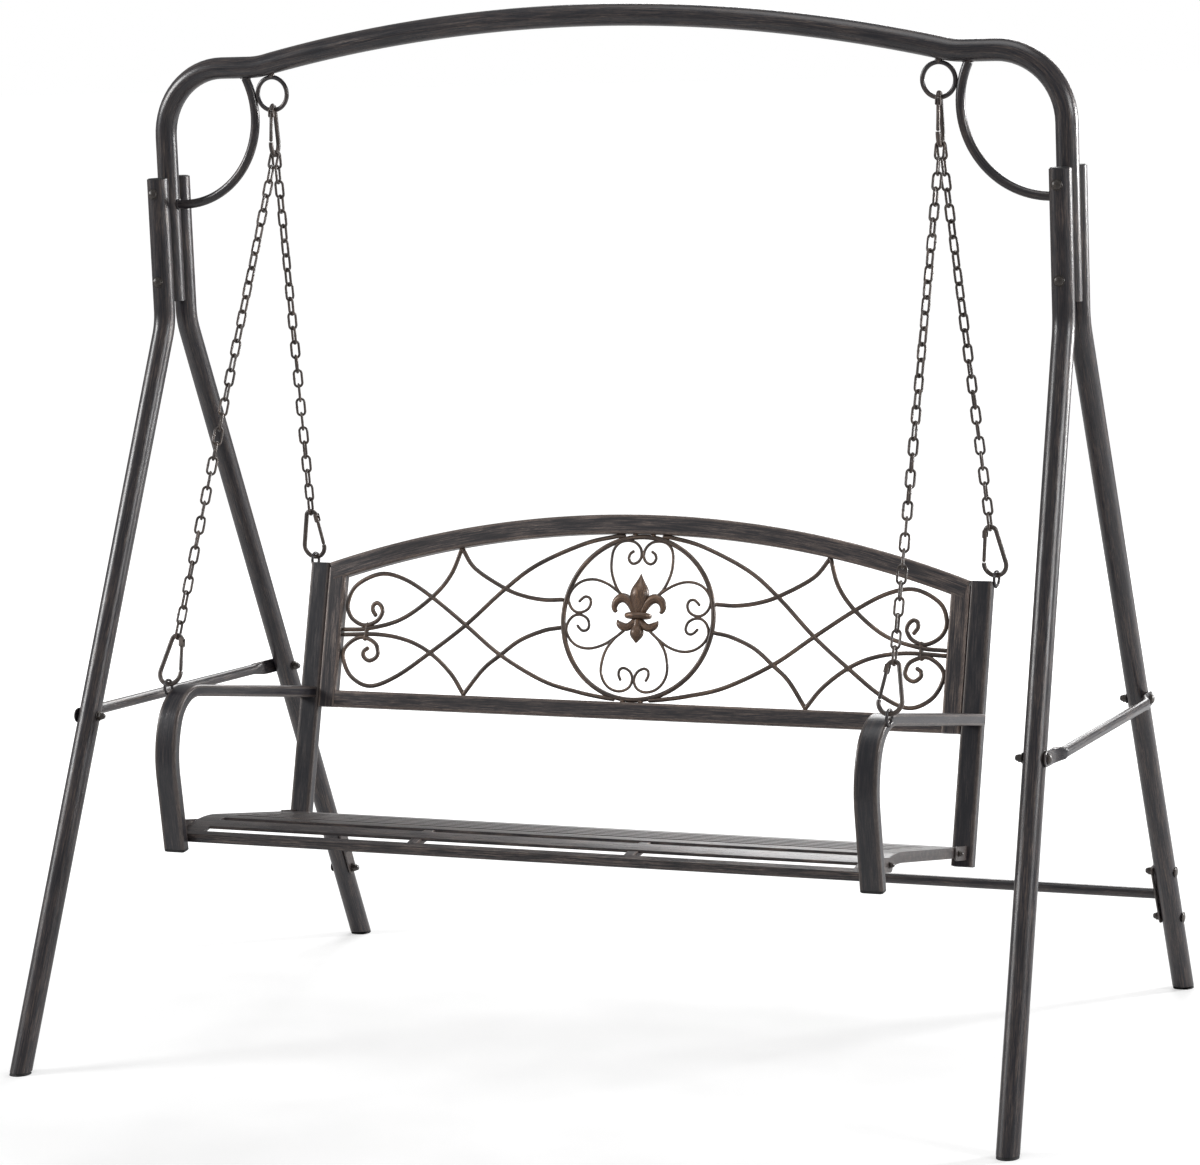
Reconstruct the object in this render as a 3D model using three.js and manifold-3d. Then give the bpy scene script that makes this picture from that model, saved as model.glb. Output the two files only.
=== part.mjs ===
import * as THREE from "three";
import { mergeVertices } from "three/addons/utils/BufferGeometryUtils.js";
import Module from "manifold-3d";

const wasm = await Module();
wasm.setup();

// A two-seat garden swing bench: an A-frame stand of bent tube and a bench that hangs from it on four
// chains. +X is to the right as seen from the front, +Y is to the back, +Z is up, millimetres.
// The origin is on the ground in the middle of the stand.

// Clearances
const weldTolerance = 1e-3;
const restGap = 0.3;
const boltPlay = 0.4;
const gatePlay = 0.5;
const gateLatchGap = 0.9;

// Stand: tubes
const frameTubeDiameter = 38;
const archTubeDiameter = 16;
const braceTubeDiameter = 19;
const downTubeHalfSpan = 844;
const legTopHalfSpan = downTubeHalfSpan;
const beamCrownHeight = 1772.5;
const shoulderDrop = 74.5;
const beamShoulderHeight = beamCrownHeight - shoulderDrop;
const archRadius = 2900;
const archHalfSpan = 620;
const shoulderHalfSpan = 652;
const shoulderBendRadius = 150;
const cornerBendRadius = 120;
const downTubeLength = 412;
const downTubeBottom = beamShoulderHeight - downTubeLength;
const legTopDrop = 192;
const legTop = beamShoulderHeight - legTopDrop;
const legBendDrop = 449.3;
const legBendHeight = beamShoulderHeight - legBendDrop;
const legBendRadius = 110;
const footHalfDepth = 567;
const frontFootHalfSpan = 901.3;
const rearFootHalfSpan = 831.7;
const footPlugThickness = 5;

// Stand: corner arcs and rings
const cornerArcRadius = 154;
const cornerArcCentreX = 815;
const cornerArcDrop = 86;
const cornerArcCentreZ = beamShoulderHeight - cornerArcDrop;
const ringHalfSpan = 624.5;
const ringMiddleRadius = 29;
const ringWireDiameter = 8;

// Stand: braces, crossbar and bolts
const braceFrontHeight = 586;
const braceRearHeight = 568;
const tabThickness = 3;
const tabHeight = 26;
const tabLength = 58;
const tabOverhang = 16;
const crossbarHeight = 188;
const crossbarBoltRise = 45;
const crossPlateWidth = 25;
const crossPlateLength = 118;
const upperBeamBoltDrop = 218;
const lowerBeamBoltDrop = 374;
const beamBoltHeights = [beamShoulderHeight - upperBeamBoltDrop, beamShoulderHeight - lowerBeamBoltDrop];
const boltDiameter = 8;
const boltHeadDiameter = 17;
const boltHeadHeight = 6;
const lowBoltHeadHeight = 2.5;
const nutAcross = 14;
const nutHeight = 7;
const capNutHeight = 6;
const seatBoltDiameter = 6;
const seatBoltHeadDiameter = 12;

// Bench: how it hangs
const benchPitchDegrees = 10.2;
const benchOriginDrop = 1221.4;
const tubeFace = 40;
const tubeDepth = 20;
const postFace = 38;
const postOuterX = 653;
const armOuterX = 660;

// Bench: arm tube, from its foot upwards
const armFootY = -432.5;
const armFootZ = -92;
const armLeanDegrees = 16.5;
const armStraightLength = 127.8;
const armSweepRadius = 175;
const armSweepBackDegrees = 15;
const armBendRadius = 72;
const plugDepth = 6;

// Bench: posts and back
const postFootY = -11.1;
const postFootZ = -68;
const postLeanDegrees = 5.94;
const postLength = 484;
const backProud = 2;
const backRailFace = 34;
const backBottomRailFace = 30;
const backFrameDepth = 20;
const backBottomRailTop = 253;
const backCrownRise = 100.4;
const latticeRodDiameter = 7.3;
const ringRodDiameter = 9;
const scrollRodDiameter = 5;

// Bench: seat
const seatHalfWidth = 640;
const seatTopZ = -36;
const seatRearY = -28;
const seatKneeY = -300;
const seatFrontY = -423;
const seatCurveRadius = 260;
const seatSheet = 2;
const seatFlange = 18;
const seatFrontFlange = 14;
const slotHalfLength = 598;
const slotWidth = 19;
const slotPitch = 50;
const firstSlotY = -402;
const slotCount = 7;
const slotLipDepth = 5;
const slotCut = 44;
const seatSupportX = 200;
const seatSupportWidth = 20;
const seatSupportDepth = 14;
const frontSeatBoltY = -370;
const rearSeatBoltY = -49;
const seatBoltDrop = 10;
const lugHeight = 24;
const lugEnd = 14;

// Hangers
const hookWire = 8;
const hookWideRadius = 20;
const hookNarrowRadius = 10;
const hookLength = 87;
const hookCheekThickness = 1.4;
const hookPivotInset = 7;
const topHookTurnDegrees = { left: 10, right: 9 };
const gateDiameter = 6.4;
const gatePinDiameter = 2.6;
const gateEndGap = 1.8;
const chainWire = 4.4;
const chainLinkWidth = 18.5;
const crownBite = 0.5;
const frontLinkCount = 33;
const rearLinkCount = 25;
const chainTwistDegrees = 90;
const chainSpread = 4.5;
const eyeWire = 5;
const eyeOuterDiameter = 30;
const weldBite = 0.8;
const frontEyeY = -443;
const frontEyeZ = 183;
const rearEyeDepth = 19;
const rearEyeRise = 7;

// How finely curves are divided
const tubeSides = 8;
const thinTubeSides = 8;
const rodSides = 5;
const scrollRodSides = 4;
const wireSides = 6;
const linkWireSides = 4;
const boltSides = 6;
const archChords = 12;
const cornerChords = 5;
const arcChords = 8;
const ringChords = 16;
const eyeChords = 10;
const medallionChords = 24;
const linkChords = 8;
const rodStepsPerPlace = 1;
const leafStepsPerPlace = 1;
const petalSides = 8;

// Scroll rods of the back, as shares of the half width inside the stiles and of the height of the stiles
// above the bottom rail, measured from the middle of the back and from the top corner line
const upperScrollShares = [
  [-0.9, -0.33],
  [-0.883, -0.3],
  [-0.868, -0.36],
  [-0.89, -0.45],
  [-0.93, -0.48],
  [-0.975, -0.42],
  [-0.99, -0.31],
  [-0.965, -0.17],
  [-0.885, -0.075],
  [-0.8, -0.11],
  [-0.702, -0.24],
  [-0.575, -0.455],
  [-0.45, -0.675],
  [-0.3, -0.86],
  [-0.18, -0.935],
  [-0.095, -0.965],
];
const lowerScrollShares = [
  [-0.925, -0.72],
  [-0.9, -0.765],
  [-0.872, -0.69],
  [-0.89, -0.605],
  [-0.935, -0.575],
  [-0.98, -0.64],
  [-0.992, -0.73],
  [-0.96, -0.88],
  [-0.89, -0.955],
  [-0.8, -0.87],
  [-0.69, -0.675],
  [-0.575, -0.45],
  [-0.455, -0.17],
  [-0.35, 0.03],
  [-0.2, 0.2],
  [-0.1, 0.262],
];
const stileUpperShares = [
  [-0.995, -0.52],
  [-0.91, -0.505],
  [-0.8, -0.425],
  [-0.702, -0.25],
  [-0.642, -0.07],
  [-0.61, 0.145],
];
const stileLowerShares = [
  [-0.995, -0.56],
  [-0.87, -0.55],
  [-0.77, -0.59],
  [-0.69, -0.68],
  [-0.615, -0.83],
  [-0.565, -0.99],
];
const ringUpperShares = [
  [-0.61, 0.145],
  [-0.56, -0.01],
  [-0.455, -0.155],
  [-0.387, -0.212],
  [-0.318, -0.237],
  [-0.255, -0.232],
];
const ringLowerShares = [
  [-0.565, -0.99],
  [-0.505, -0.79],
  [-0.45, -0.675],
  [-0.387, -0.555],
  [-0.31, -0.475],
  [-0.255, -0.448],
];
const latticeShares = [
  upperScrollShares,
  lowerScrollShares,
  stileUpperShares,
  stileLowerShares,
  ringUpperShares,
  ringLowerShares,
];
const curlTieShares = [
  [-0.915, -0.47],
  [-0.917, -0.53],
  [-0.92, -0.59],
];

// One small scroll of the medallion, as shares of the ring's radius: outwards along its heart's axis, and
// sideways from that axis
const heartShares = [
  [0.16, 0.2],
  [0.25, 0.24],
  [0.37, 0.33],
  [0.53, 0.41],
  [0.68, 0.44],
  [0.82, 0.415],
  [0.915, 0.335],
  [0.94, 0.22],
  [0.9, 0.11],
  [0.81, 0.045],
  [0.715, 0.05],
  [0.655, 0.12],
  [0.67, 0.205],
  [0.735, 0.235],
  [0.8, 0.19],
];
const heartSteps = 13;

// Ornament, as shares of the medallion's radius
const petalShares = [
  [0, 0.54],
  [0.045, 0.47],
  [0.105, 0.38],
  [0.12, 0.29],
  [0.1, 0.19],
  [0.065, 0.1],
  [0.06, 0.02],
  [0.075, -0.04],
  [0.055, -0.1],
  [0.083, -0.17],
  [0.06, -0.235],
  [0, -0.28],
];
const upperLeafShares = [
  [0.03, 0.05],
  [0.1, 0.19],
  [0.18, 0.27],
  [0.27, 0.265],
  [0.335, 0.2],
  [0.345, 0.12],
  [0.315, 0.065],
  [0.28, 0.09],
  [0.28, 0.15],
  [0.25, 0.185],
  [0.19, 0.165],
  [0.13, 0.08],
  [0.06, -0.02],
];
const lowerLeafShares = [
  [0.04, 0],
  [0.1, -0.055],
  [0.16, -0.06],
  [0.21, -0.045],
  [0.25, -0.07],
  [0.25, -0.12],
  [0.2, -0.15],
  [0.14, -0.14],
  [0.09, -0.12],
  [0.04, -0.14],
];
const leafThicknessShare = 0.1;
const leafBevelShare = 0.02;
const petalDepthShare = 0.7;

// Sizes that follow from the ones above
const frameTubeRadius = frameTubeDiameter / 2;
const legOffsetY = frameTubeDiameter + restGap;
const archCentreZ = beamCrownHeight - archRadius;
const circleHeight = (x, radius) => Math.sqrt(radius * radius - x * x);
const ringBeamZ = archCentreZ + circleHeight(ringHalfSpan, archRadius);
const ringBeamSlope = Math.asin(ringHalfSpan / archRadius);
const ringOuterRadius = ringMiddleRadius + ringWireDiameter / 2;
const ringCentreZ = ringBeamZ - (frameTubeRadius + restGap + ringOuterRadius) / Math.cos(ringBeamSlope);
const pivotZ = ringCentreZ - ringMiddleRadius;
const benchPitch = THREE.MathUtils.degToRad(benchPitchDegrees);
const postLean = THREE.MathUtils.degToRad(postLeanDegrees);
const backHalfWidth = postOuterX - postFace - restGap;
const backInnerHalfWidth = backHalfWidth - backRailFace;
const backInnerHeight = postLength - backBottomRailTop;
const backArcRadius = (backHalfWidth * backHalfWidth + backCrownRise * backCrownRise) / (2 * backCrownRise);
const backCrownW = postLength + backCrownRise;
const medallionHeight = backCrownW - backRailFace - backBottomRailTop - restGap * 2;
const medallionRadius = medallionHeight / 2 - ringRodDiameter / 2;
const medallionCentreW = backBottomRailTop + restGap + medallionHeight / 2;
const backMiddleDepth = backFrameDepth / 2 - backProud;

// Solids, joins and cuts

function solidOf(geometry) {
  const bare = geometry.clone();
  bare.deleteAttribute("normal");
  bare.deleteAttribute("uv");
  const welded = mergeVertices(bare, weldTolerance);
  const mesh = new wasm.Mesh({
    numProp: 3,
    vertProperties: welded.attributes.position.array,
    triVerts: new Uint32Array(welded.index.array),
  });
  return new wasm.Manifold(mesh);
}

function geometryOf(solid) {
  const mesh = solid.getMesh();
  const geometry = new THREE.BufferGeometry();
  geometry.setAttribute("position", new THREE.BufferAttribute(mesh.vertProperties, 3));
  geometry.setIndex(new THREE.BufferAttribute(mesh.triVerts, 1));
  geometry.computeVertexNormals();
  return geometry;
}

function join(solids) {
  return solids.reduce((whole, next) => whole.add(next));
}

function boxSolid(width, depth, height, x, y, z) {
  return solidOf(new THREE.BoxGeometry(width, depth, height).translate(x, y, z));
}

function rodAlong(axis, radius, length, sides, x, y, z) {
  const geometry = new THREE.CylinderGeometry(radius, radius, length, sides);
  if (axis === "x") geometry.rotateZ(-Math.PI / 2);
  if (axis === "z") geometry.rotateX(Math.PI / 2);
  return solidOf(geometry.translate(x, y, z));
}

// A path whose stations are exactly the given points, so that bends keep their own divisions
class StationPath extends THREE.Curve {
  constructor(points) {
    super();
    this.points = points;
  }

  getPoint(share, target = new THREE.Vector3()) {
    const place = share * (this.points.length - 1);
    const index = Math.min(Math.floor(place), this.points.length - 2);
    return target.lerpVectors(this.points[index], this.points[index + 1], place - index);
  }

  getPointAt(share, target) {
    return this.getPoint(share, target);
  }

  getTangentAt(share, target = new THREE.Vector3()) {
    const last = this.points.length - 1;
    const index = Math.round(share * last);
    const before = this.points[Math.max(index - 1, 0)];
    const here = this.points[index];
    const after = this.points[Math.min(index + 1, last)];
    const inwards = here.clone().sub(before).normalize();
    const outwards = after.clone().sub(here).normalize();
    return target.addVectors(inwards, outwards).normalize();
  }

  getTangent(share, target) {
    return this.getTangentAt(share, target);
  }
}

function sweep(section, points) {
  const settings = { steps: points.length - 1, extrudePath: new StationPath(points) };
  return new THREE.ExtrudeGeometry(section, settings);
}

function roundSection(radius, sides) {
  const turn = (2 * Math.PI) / sides;
  const corners = Array.from({ length: sides }, (unused, i) => {
    return new THREE.Vector2(radius * Math.cos(i * turn), radius * Math.sin(i * turn));
  });
  return new THREE.Shape(corners);
}

function boxSection(width, depth) {
  const corners = [
    new THREE.Vector2(-width / 2, -depth / 2),
    new THREE.Vector2(width / 2, -depth / 2),
    new THREE.Vector2(width / 2, depth / 2),
    new THREE.Vector2(-width / 2, depth / 2),
  ];
  return new THREE.Shape(corners);
}

// Corners with a radius become arcs of that radius, corners without one stay as they are
function roundedPath(corners, chords) {
  const points = [];
  corners.forEach(({ at, radius = 0 }, i) => {
    if (radius === 0) {
      points.push(at);
      return;
    }
    const back = corners[i - 1].at.clone().sub(at).normalize();
    const ahead = corners[i + 1].at.clone().sub(at).normalize();
    const half = back.angleTo(ahead) / 2;
    const centre = at.clone().addScaledVector(back.clone().add(ahead).normalize(), radius / Math.sin(half));
    const start = at.clone().addScaledVector(back, radius / Math.tan(half)).sub(centre);
    const end = at.clone().addScaledVector(ahead, radius / Math.tan(half)).sub(centre);
    const axis = start.clone().cross(end).normalize();
    const turn = start.angleTo(end);
    for (let k = 0; k <= chords; k += 1) {
      const spoke = start.clone().applyAxisAngle(axis, (turn * k) / chords);
      points.push(centre.clone().add(spoke));
    }
  });
  return points;
}

// Finishes

function darkBronzePaint() {
  return new THREE.MeshStandardMaterial({ color: 0x37322f, roughness: 0.46, metalness: 0.55 });
}

function hangerBronze() {
  return new THREE.MeshStandardMaterial({ color: 0x3f352d, roughness: 0.5, metalness: 0.7 });
}

function rubbedCopper() {
  return new THREE.MeshStandardMaterial({ color: 0x5a4638, roughness: 0.52, metalness: 0.6 });
}

function fastenerBlack() {
  return new THREE.MeshStandardMaterial({ color: 0x2b2a2c, roughness: 0.5, metalness: 0.6 });
}

function blackPlastic() {
  return new THREE.MeshStandardMaterial({ color: 0x1d1c1e, roughness: 0.7, metalness: 0 });
}

function named(name, geometry, material) {
  const mesh = new THREE.Mesh(geometry, material);
  mesh.name = name;
  return mesh;
}

const sides = [
  { word: "left", sign: -1 },
  { word: "right", sign: 1 },
];
const ends = [
  { word: "front", sign: -1, footHalfSpan: frontFootHalfSpan },
  { word: "rear", sign: 1, footHalfSpan: rearFootHalfSpan },
];

// Stand

function beamPoints() {
  const corners = [{ at: new THREE.Vector3(-downTubeHalfSpan, 0, downTubeBottom) }];
  corners.push({ at: new THREE.Vector3(-downTubeHalfSpan, 0, beamShoulderHeight), radius: cornerBendRadius });
  corners.push({ at: new THREE.Vector3(-shoulderHalfSpan, 0, beamShoulderHeight), radius: shoulderBendRadius });
  for (let i = 0; i <= archChords; i += 1) {
    const x = archHalfSpan * ((2 * i) / archChords - 1);
    corners.push({ at: new THREE.Vector3(x, 0, archCentreZ + circleHeight(x, archRadius)) });
  }
  corners.push({ at: new THREE.Vector3(shoulderHalfSpan, 0, beamShoulderHeight), radius: shoulderBendRadius });
  corners.push({ at: new THREE.Vector3(downTubeHalfSpan, 0, beamShoulderHeight), radius: cornerBendRadius });
  corners.push({ at: new THREE.Vector3(downTubeHalfSpan, 0, downTubeBottom) });
  return roundedPath(corners, cornerChords);
}

function beamTube(radius) {
  return solidOf(sweep(roundSection(radius, tubeSides), beamPoints()));
}

function beamBoltHole(x, z) {
  const reach = legOffsetY + frameTubeDiameter;
  return rodAlong("y", (boltDiameter + boltPlay * 2) / 2, reach * 2, boltSides, x, 0, z);
}

function topBeam() {
  let tube = beamTube(frameTubeRadius);
  for (const side of sides) {
    for (const height of beamBoltHeights) {
      tube = tube.subtract(beamBoltHole(side.sign * legTopHalfSpan, height));
    }
  }
  return geometryOf(tube);
}

function footPoint(side, end) {
  return new THREE.Vector3(side.sign * end.footHalfSpan, end.sign * footHalfDepth, 0);
}

function legBendPoint(side, end) {
  return new THREE.Vector3(side.sign * legTopHalfSpan, end.sign * legOffsetY, legBendHeight);
}

function legPointAt(side, end, height) {
  const share = (legBendHeight - height) / legBendHeight;
  return legBendPoint(side, end).lerp(footPoint(side, end), share);
}

function legTube(side, end) {
  const top = new THREE.Vector3(side.sign * legTopHalfSpan, end.sign * legOffsetY, legTop);
  const foot = footPoint(side, end);
  const beyond = foot.clone().add(foot.clone().sub(legBendPoint(side, end)).setLength(frameTubeDiameter));
  const corners = [{ at: top }, { at: legBendPoint(side, end), radius: legBendRadius }, { at: beyond }];
  return solidOf(sweep(roundSection(frameTubeRadius, tubeSides), roundedPath(corners, 3)));
}

function footBand(side, end, low, high) {
  const foot = footPoint(side, end);
  const width = frameTubeDiameter * 3;
  return boxSolid(width, width, high - low, foot.x, foot.y, (high + low) / 2);
}

// The flattened ends of a brace lie against the outside of the two legs
function braceFrame(side) {
  const front = legPointAt(side, ends[0], braceFrontHeight);
  const rear = legPointAt(side, ends[1], braceRearHeight);
  const along = rear.clone().sub(front).normalize();
  const outwards = new THREE.Vector3(side.sign, 0, 0);
  outwards.addScaledVector(along, -outwards.dot(along)).normalize();
  const upwards = outwards.clone().cross(along).multiplyScalar(side.sign);
  const frame = new THREE.Matrix4().makeBasis(outwards.multiplyScalar(side.sign), along, upwards);
  frame.setPosition(front);
  return { frame, span: front.distanceTo(rear) };
}

function braceBoltHole(side, place) {
  const { frame } = braceFrame(side);
  const hole = new THREE.CylinderGeometry(
    boltDiameter / 2 + boltPlay,
    boltDiameter / 2 + boltPlay,
    frameTubeDiameter * 3,
    boltSides,
  );
  hole.rotateZ(-Math.PI / 2).translate(0, place, 0).applyMatrix4(frame);
  return solidOf(hole);
}

function crossbarBoltHole(side, height) {
  const at = legPointAt(side, ends[1], height);
  const radius = boltDiameter / 2 + boltPlay;
  return rodAlong("x", radius, frameTubeDiameter * 3, boltSides, at.x, at.y, at.z);
}

const crossbarBoltHeights = [crossbarHeight + crossbarBoltRise, crossbarHeight - crossbarBoltRise];

function leg(side, end) {
  let tube = legTube(side, end);
  tube = tube.subtract(footBand(side, end, -frameTubeDiameter * 2, footPlugThickness + restGap));
  for (const height of beamBoltHeights) {
    tube = tube.subtract(beamBoltHole(side.sign * legTopHalfSpan, height));
  }
  tube = tube.subtract(braceBoltHole(side, end.sign < 0 ? 0 : braceFrame(side).span));
  if (end.word === "rear") {
    for (const height of crossbarBoltHeights) {
      tube = tube.subtract(crossbarBoltHole(side, height));
    }
  }
  return geometryOf(tube);
}

function footPlug(side, end) {
  return geometryOf(legTube(side, end).intersect(footBand(side, end, 0, footPlugThickness)));
}

function cornerArc(side) {
  const startZ = beamShoulderHeight;
  const startX = cornerArcCentreX - circleHeight(startZ - cornerArcCentreZ, cornerArcRadius);
  const startAngle = Math.atan2(startZ - cornerArcCentreZ, startX - cornerArcCentreX);
  const endX = downTubeHalfSpan;
  const endZ = cornerArcCentreZ - circleHeight(endX - cornerArcCentreX, cornerArcRadius);
  const endAngle = Math.atan2(endZ - cornerArcCentreZ, endX - cornerArcCentreX) + 2 * Math.PI;
  const points = [];
  for (let i = 0; i <= arcChords; i += 1) {
    const angle = startAngle + ((endAngle - startAngle) * i) / arcChords;
    const x = cornerArcCentreX + cornerArcRadius * Math.cos(angle);
    const z = cornerArcCentreZ + cornerArcRadius * Math.sin(angle);
    points.push(new THREE.Vector3(side.sign * x, 0, z));
  }
  const tube = solidOf(sweep(roundSection(archTubeDiameter / 2, thinTubeSides), points));
  return geometryOf(tube.subtract(beamTube(frameTubeRadius + restGap)));
}

function hangingRing(side) {
  const ring = new THREE.TorusGeometry(ringMiddleRadius, ringWireDiameter / 2, wireSides, ringChords);
  ring.rotateX(Math.PI / 2).translate(side.sign * ringHalfSpan, 0, ringCentreZ);
  return ring;
}

function sideBrace(side) {
  const { frame, span } = braceFrame(side);
  const tabX = side.sign * (frameTubeRadius + restGap + tabThickness / 2);
  const tubeX = side.sign * (frameTubeRadius + restGap + braceTubeDiameter / 2);
  const tubeLength = span - (tabLength - tabOverhang) * 2 + tabHeight;
  const pieces = [rodAlong("y", braceTubeDiameter / 2, tubeLength, thinTubeSides, tubeX, span / 2, 0)];
  for (const place of [0, span]) {
    const inwards = place === 0 ? 1 : -1;
    const middle = place + inwards * (tabLength / 2 - tabOverhang);
    pieces.push(boxSolid(tabThickness, tabLength, tabHeight, tabX, middle, 0));
  }
  let brace = join(pieces);
  for (const place of [0, span]) {
    const radius = boltDiameter / 2 + boltPlay;
    brace = brace.subtract(rodAlong("x", radius, frameTubeDiameter * 3, boltSides, 0, place, 0));
  }
  return geometryOf(brace).applyMatrix4(frame);
}

function crossPlate(side) {
  const middle = legPointAt(side, ends[1], crossbarHeight);
  const rise = legBendPoint(side, ends[1]).sub(footPoint(side, ends[1]));
  const plate = new THREE.BoxGeometry(tabThickness, crossPlateWidth, crossPlateLength);
  plate.rotateX(Math.atan2(-rise.y, rise.z));
  const x = middle.x - side.sign * (frameTubeRadius + restGap * 2 + tabThickness / 2);
  return { solid: solidOf(plate.translate(x, middle.y, middle.z)), x };
}

function rearCrossbar() {
  const middle = legPointAt(sides[1], ends[1], crossbarHeight);
  const plates = sides.map(crossPlate);
  const length = plates[1].x - plates[0].x;
  const radius = braceTubeDiameter / 2;
  let bar = rodAlong("x", radius, length, thinTubeSides, 0, middle.y, middle.z);
  for (const plate of plates) {
    bar = bar.add(plate.solid);
  }
  for (const side of sides) {
    for (const height of crossbarBoltHeights) {
      bar = bar.subtract(crossbarBoltHole(side, height));
    }
  }
  return geometryOf(bar);
}

// A round-headed bolt with its domed nut: the head is at -Y and what it clamps lies from -grip/2 to grip/2
function boltWithNut(diameter, headDiameter, grip, headHeight = boltHeadHeight) {
  const low = -grip / 2 - restGap;
  const high = grip / 2 + restGap;
  const radius = diameter / 2;
  const profile = [
    new THREE.Vector2(0, low - headHeight),
    new THREE.Vector2(headDiameter * 0.32, low - headHeight * 0.8),
    new THREE.Vector2(headDiameter / 2, low),
    new THREE.Vector2(radius, low),
    new THREE.Vector2(radius, high + nutHeight),
    new THREE.Vector2(radius * 0.7, high + nutHeight + capNutHeight * 0.75),
    new THREE.Vector2(0, high + nutHeight + capNutHeight),
  ];
  const shank = solidOf(new THREE.LatheGeometry(profile, boltSides));
  const nut = rodAlong("y", (nutAcross / 2) * (diameter / boltDiameter), nutHeight, 6, 0, high + nutHeight / 2, 0);
  return geometryOf(shank.add(nut));
}

function beamBolt(side, height) {
  const bolt = boltWithNut(boltDiameter, boltHeadDiameter, (legOffsetY + frameTubeRadius) * 2);
  return bolt.translate(side.sign * legTopHalfSpan, 0, height);
}

// The head is outside the brace, the nut inside the leg
function braceBolt(side, end) {
  const { frame, span } = braceFrame(side);
  const grip = frameTubeDiameter + tabThickness + restGap * 2;
  const bolt = boltWithNut(boltDiameter, boltHeadDiameter, grip);
  bolt.rotateZ((side.sign * Math.PI) / 2);
  bolt.translate((side.sign * (tabThickness + restGap)) / 2, end.sign < 0 ? 0 : span, 0);
  return bolt.applyMatrix4(frame);
}

// The low head is outside the leg, the nut inside on the plate
function crossbarBolt(side, height) {
  const at = legPointAt(side, ends[1], height);
  const middle = legPointAt(side, ends[1], crossbarHeight);
  const grip = frameTubeDiameter + tabThickness + restGap * 4;
  const bolt = boltWithNut(boltDiameter, boltHeadDiameter, grip, lowBoltHeadHeight);
  bolt.rotateZ((side.sign * Math.PI) / 2);
  return bolt.translate(middle.x - (side.sign * tabThickness) / 2, at.y, at.z);
}

// Bench: every piece is drawn in the bench's own frame, whose floor is level when the seat is

function armPoints(side) {
  const x = side.sign * (armOuterX - tubeFace / 2);
  const lean = THREE.MathUtils.degToRad(armLeanDegrees);
  const back = THREE.MathUtils.degToRad(armSweepBackDegrees);
  const points = [];
  let y = armFootY;
  let z = armFootZ;
  points.push(new THREE.Vector3(x, y, z));
  y -= armStraightLength * Math.sin(lean);
  z += armStraightLength * Math.cos(lean);
  points.push(new THREE.Vector3(x, y, z));
  const bend = (radius, from, to, chords) => {
    const centreY = y + radius * Math.cos(from);
    const centreZ = z + radius * Math.sin(from);
    for (let i = 1; i <= chords; i += 1) {
      const angle = from + ((to - from) * i) / chords;
      y = centreY - radius * Math.cos(angle);
      z = centreZ - radius * Math.sin(angle);
      points.push(new THREE.Vector3(x, y, z));
    }
  };
  bend(armSweepRadius, lean, -back, 4);
  bend(armBendRadius, -back, -Math.PI / 2, 7);
  points.push(new THREE.Vector3(x, tubeDepth, z));
  return points;
}

function inBackFrame(geometry) {
  return geometry.rotateX(-postLean).translate(0, postFootY, postFootZ);
}

function postBlank(side) {
  const x = side.sign * (postOuterX - postFace / 2);
  const post = new THREE.BoxGeometry(postFace, tubeDepth, postLength);
  return solidOf(inBackFrame(post.translate(x, tubeDepth / 2, postLength / 2)));
}

function rearEyeCentre() {
  const place = new THREE.Vector3(0, rearEyeDepth, postLength + rearEyeRise);
  place.applyAxisAngle(new THREE.Vector3(1, 0, 0), -postLean);
  return place.add(new THREE.Vector3(0, postFootY, postFootZ));
}

function seatCurveDrop(y) {
  return seatCurveRadius - circleHeight(Math.min(y - seatKneeY, 0), seatCurveRadius);
}

function lug(side, fromY, toY, boltY) {
  const z = seatTopZ - seatCurveDrop(boltY) - seatBoltDrop;
  const x = side.sign * (seatHalfWidth + restGap + tabThickness / 2);
  return boxSolid(tabThickness, Math.abs(toY - fromY), lugHeight, x, (fromY + toY) / 2, z);
}

function seatBoltHole(side, y) {
  const z = seatTopZ - seatCurveDrop(y) - seatBoltDrop;
  const radius = seatBoltDiameter / 2 + boltPlay;
  return rodAlong("x", radius, tubeFace, boltSides, side.sign * seatHalfWidth, y, z);
}

// All that lies behind the plane of the posts' front faces
function behindPostFront() {
  const deep = new THREE.BoxGeometry(armOuterX * 3, postLength, postLength * 3);
  return solidOf(inBackFrame(deep.translate(0, postLength / 2 - restGap, 0)));
}

// A welded wire loop on the outside of a tube, in the YZ plane
function eye(outerX, y, z, side) {
  const radius = (eyeOuterDiameter - eyeWire) / 2;
  const loop = new THREE.TorusGeometry(radius, eyeWire / 2, wireSides, eyeChords);
  loop.rotateY(Math.PI / 2);
  return solidOf(loop.translate(side.sign * (outerX + eyeWire / 2 - weldBite), y, z));
}

function armTube(side) {
  const blank = solidOf(sweep(boxSection(tubeFace, tubeDepth), armPoints(side)));
  const tube = blank.subtract(behindPostFront());
  const footing = lug(side, armFootY - tubeDepth / 2, frontSeatBoltY + lugEnd, frontSeatBoltY);
  const whole = tube.add(footing).add(eye(armOuterX, frontEyeY, frontEyeZ, side));
  return geometryOf(whole.subtract(seatBoltHole(side, frontSeatBoltY)));
}

function armPlug(side) {
  const lean = THREE.MathUtils.degToRad(armLeanDegrees);
  const plug = new THREE.BoxGeometry(tubeFace, tubeDepth, plugDepth - restGap);
  plug.translate(0, 0, -(plugDepth + restGap) / 2).rotateX(lean);
  return plug.translate(side.sign * (armOuterX - tubeFace / 2), armFootY, armFootZ);
}

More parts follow.
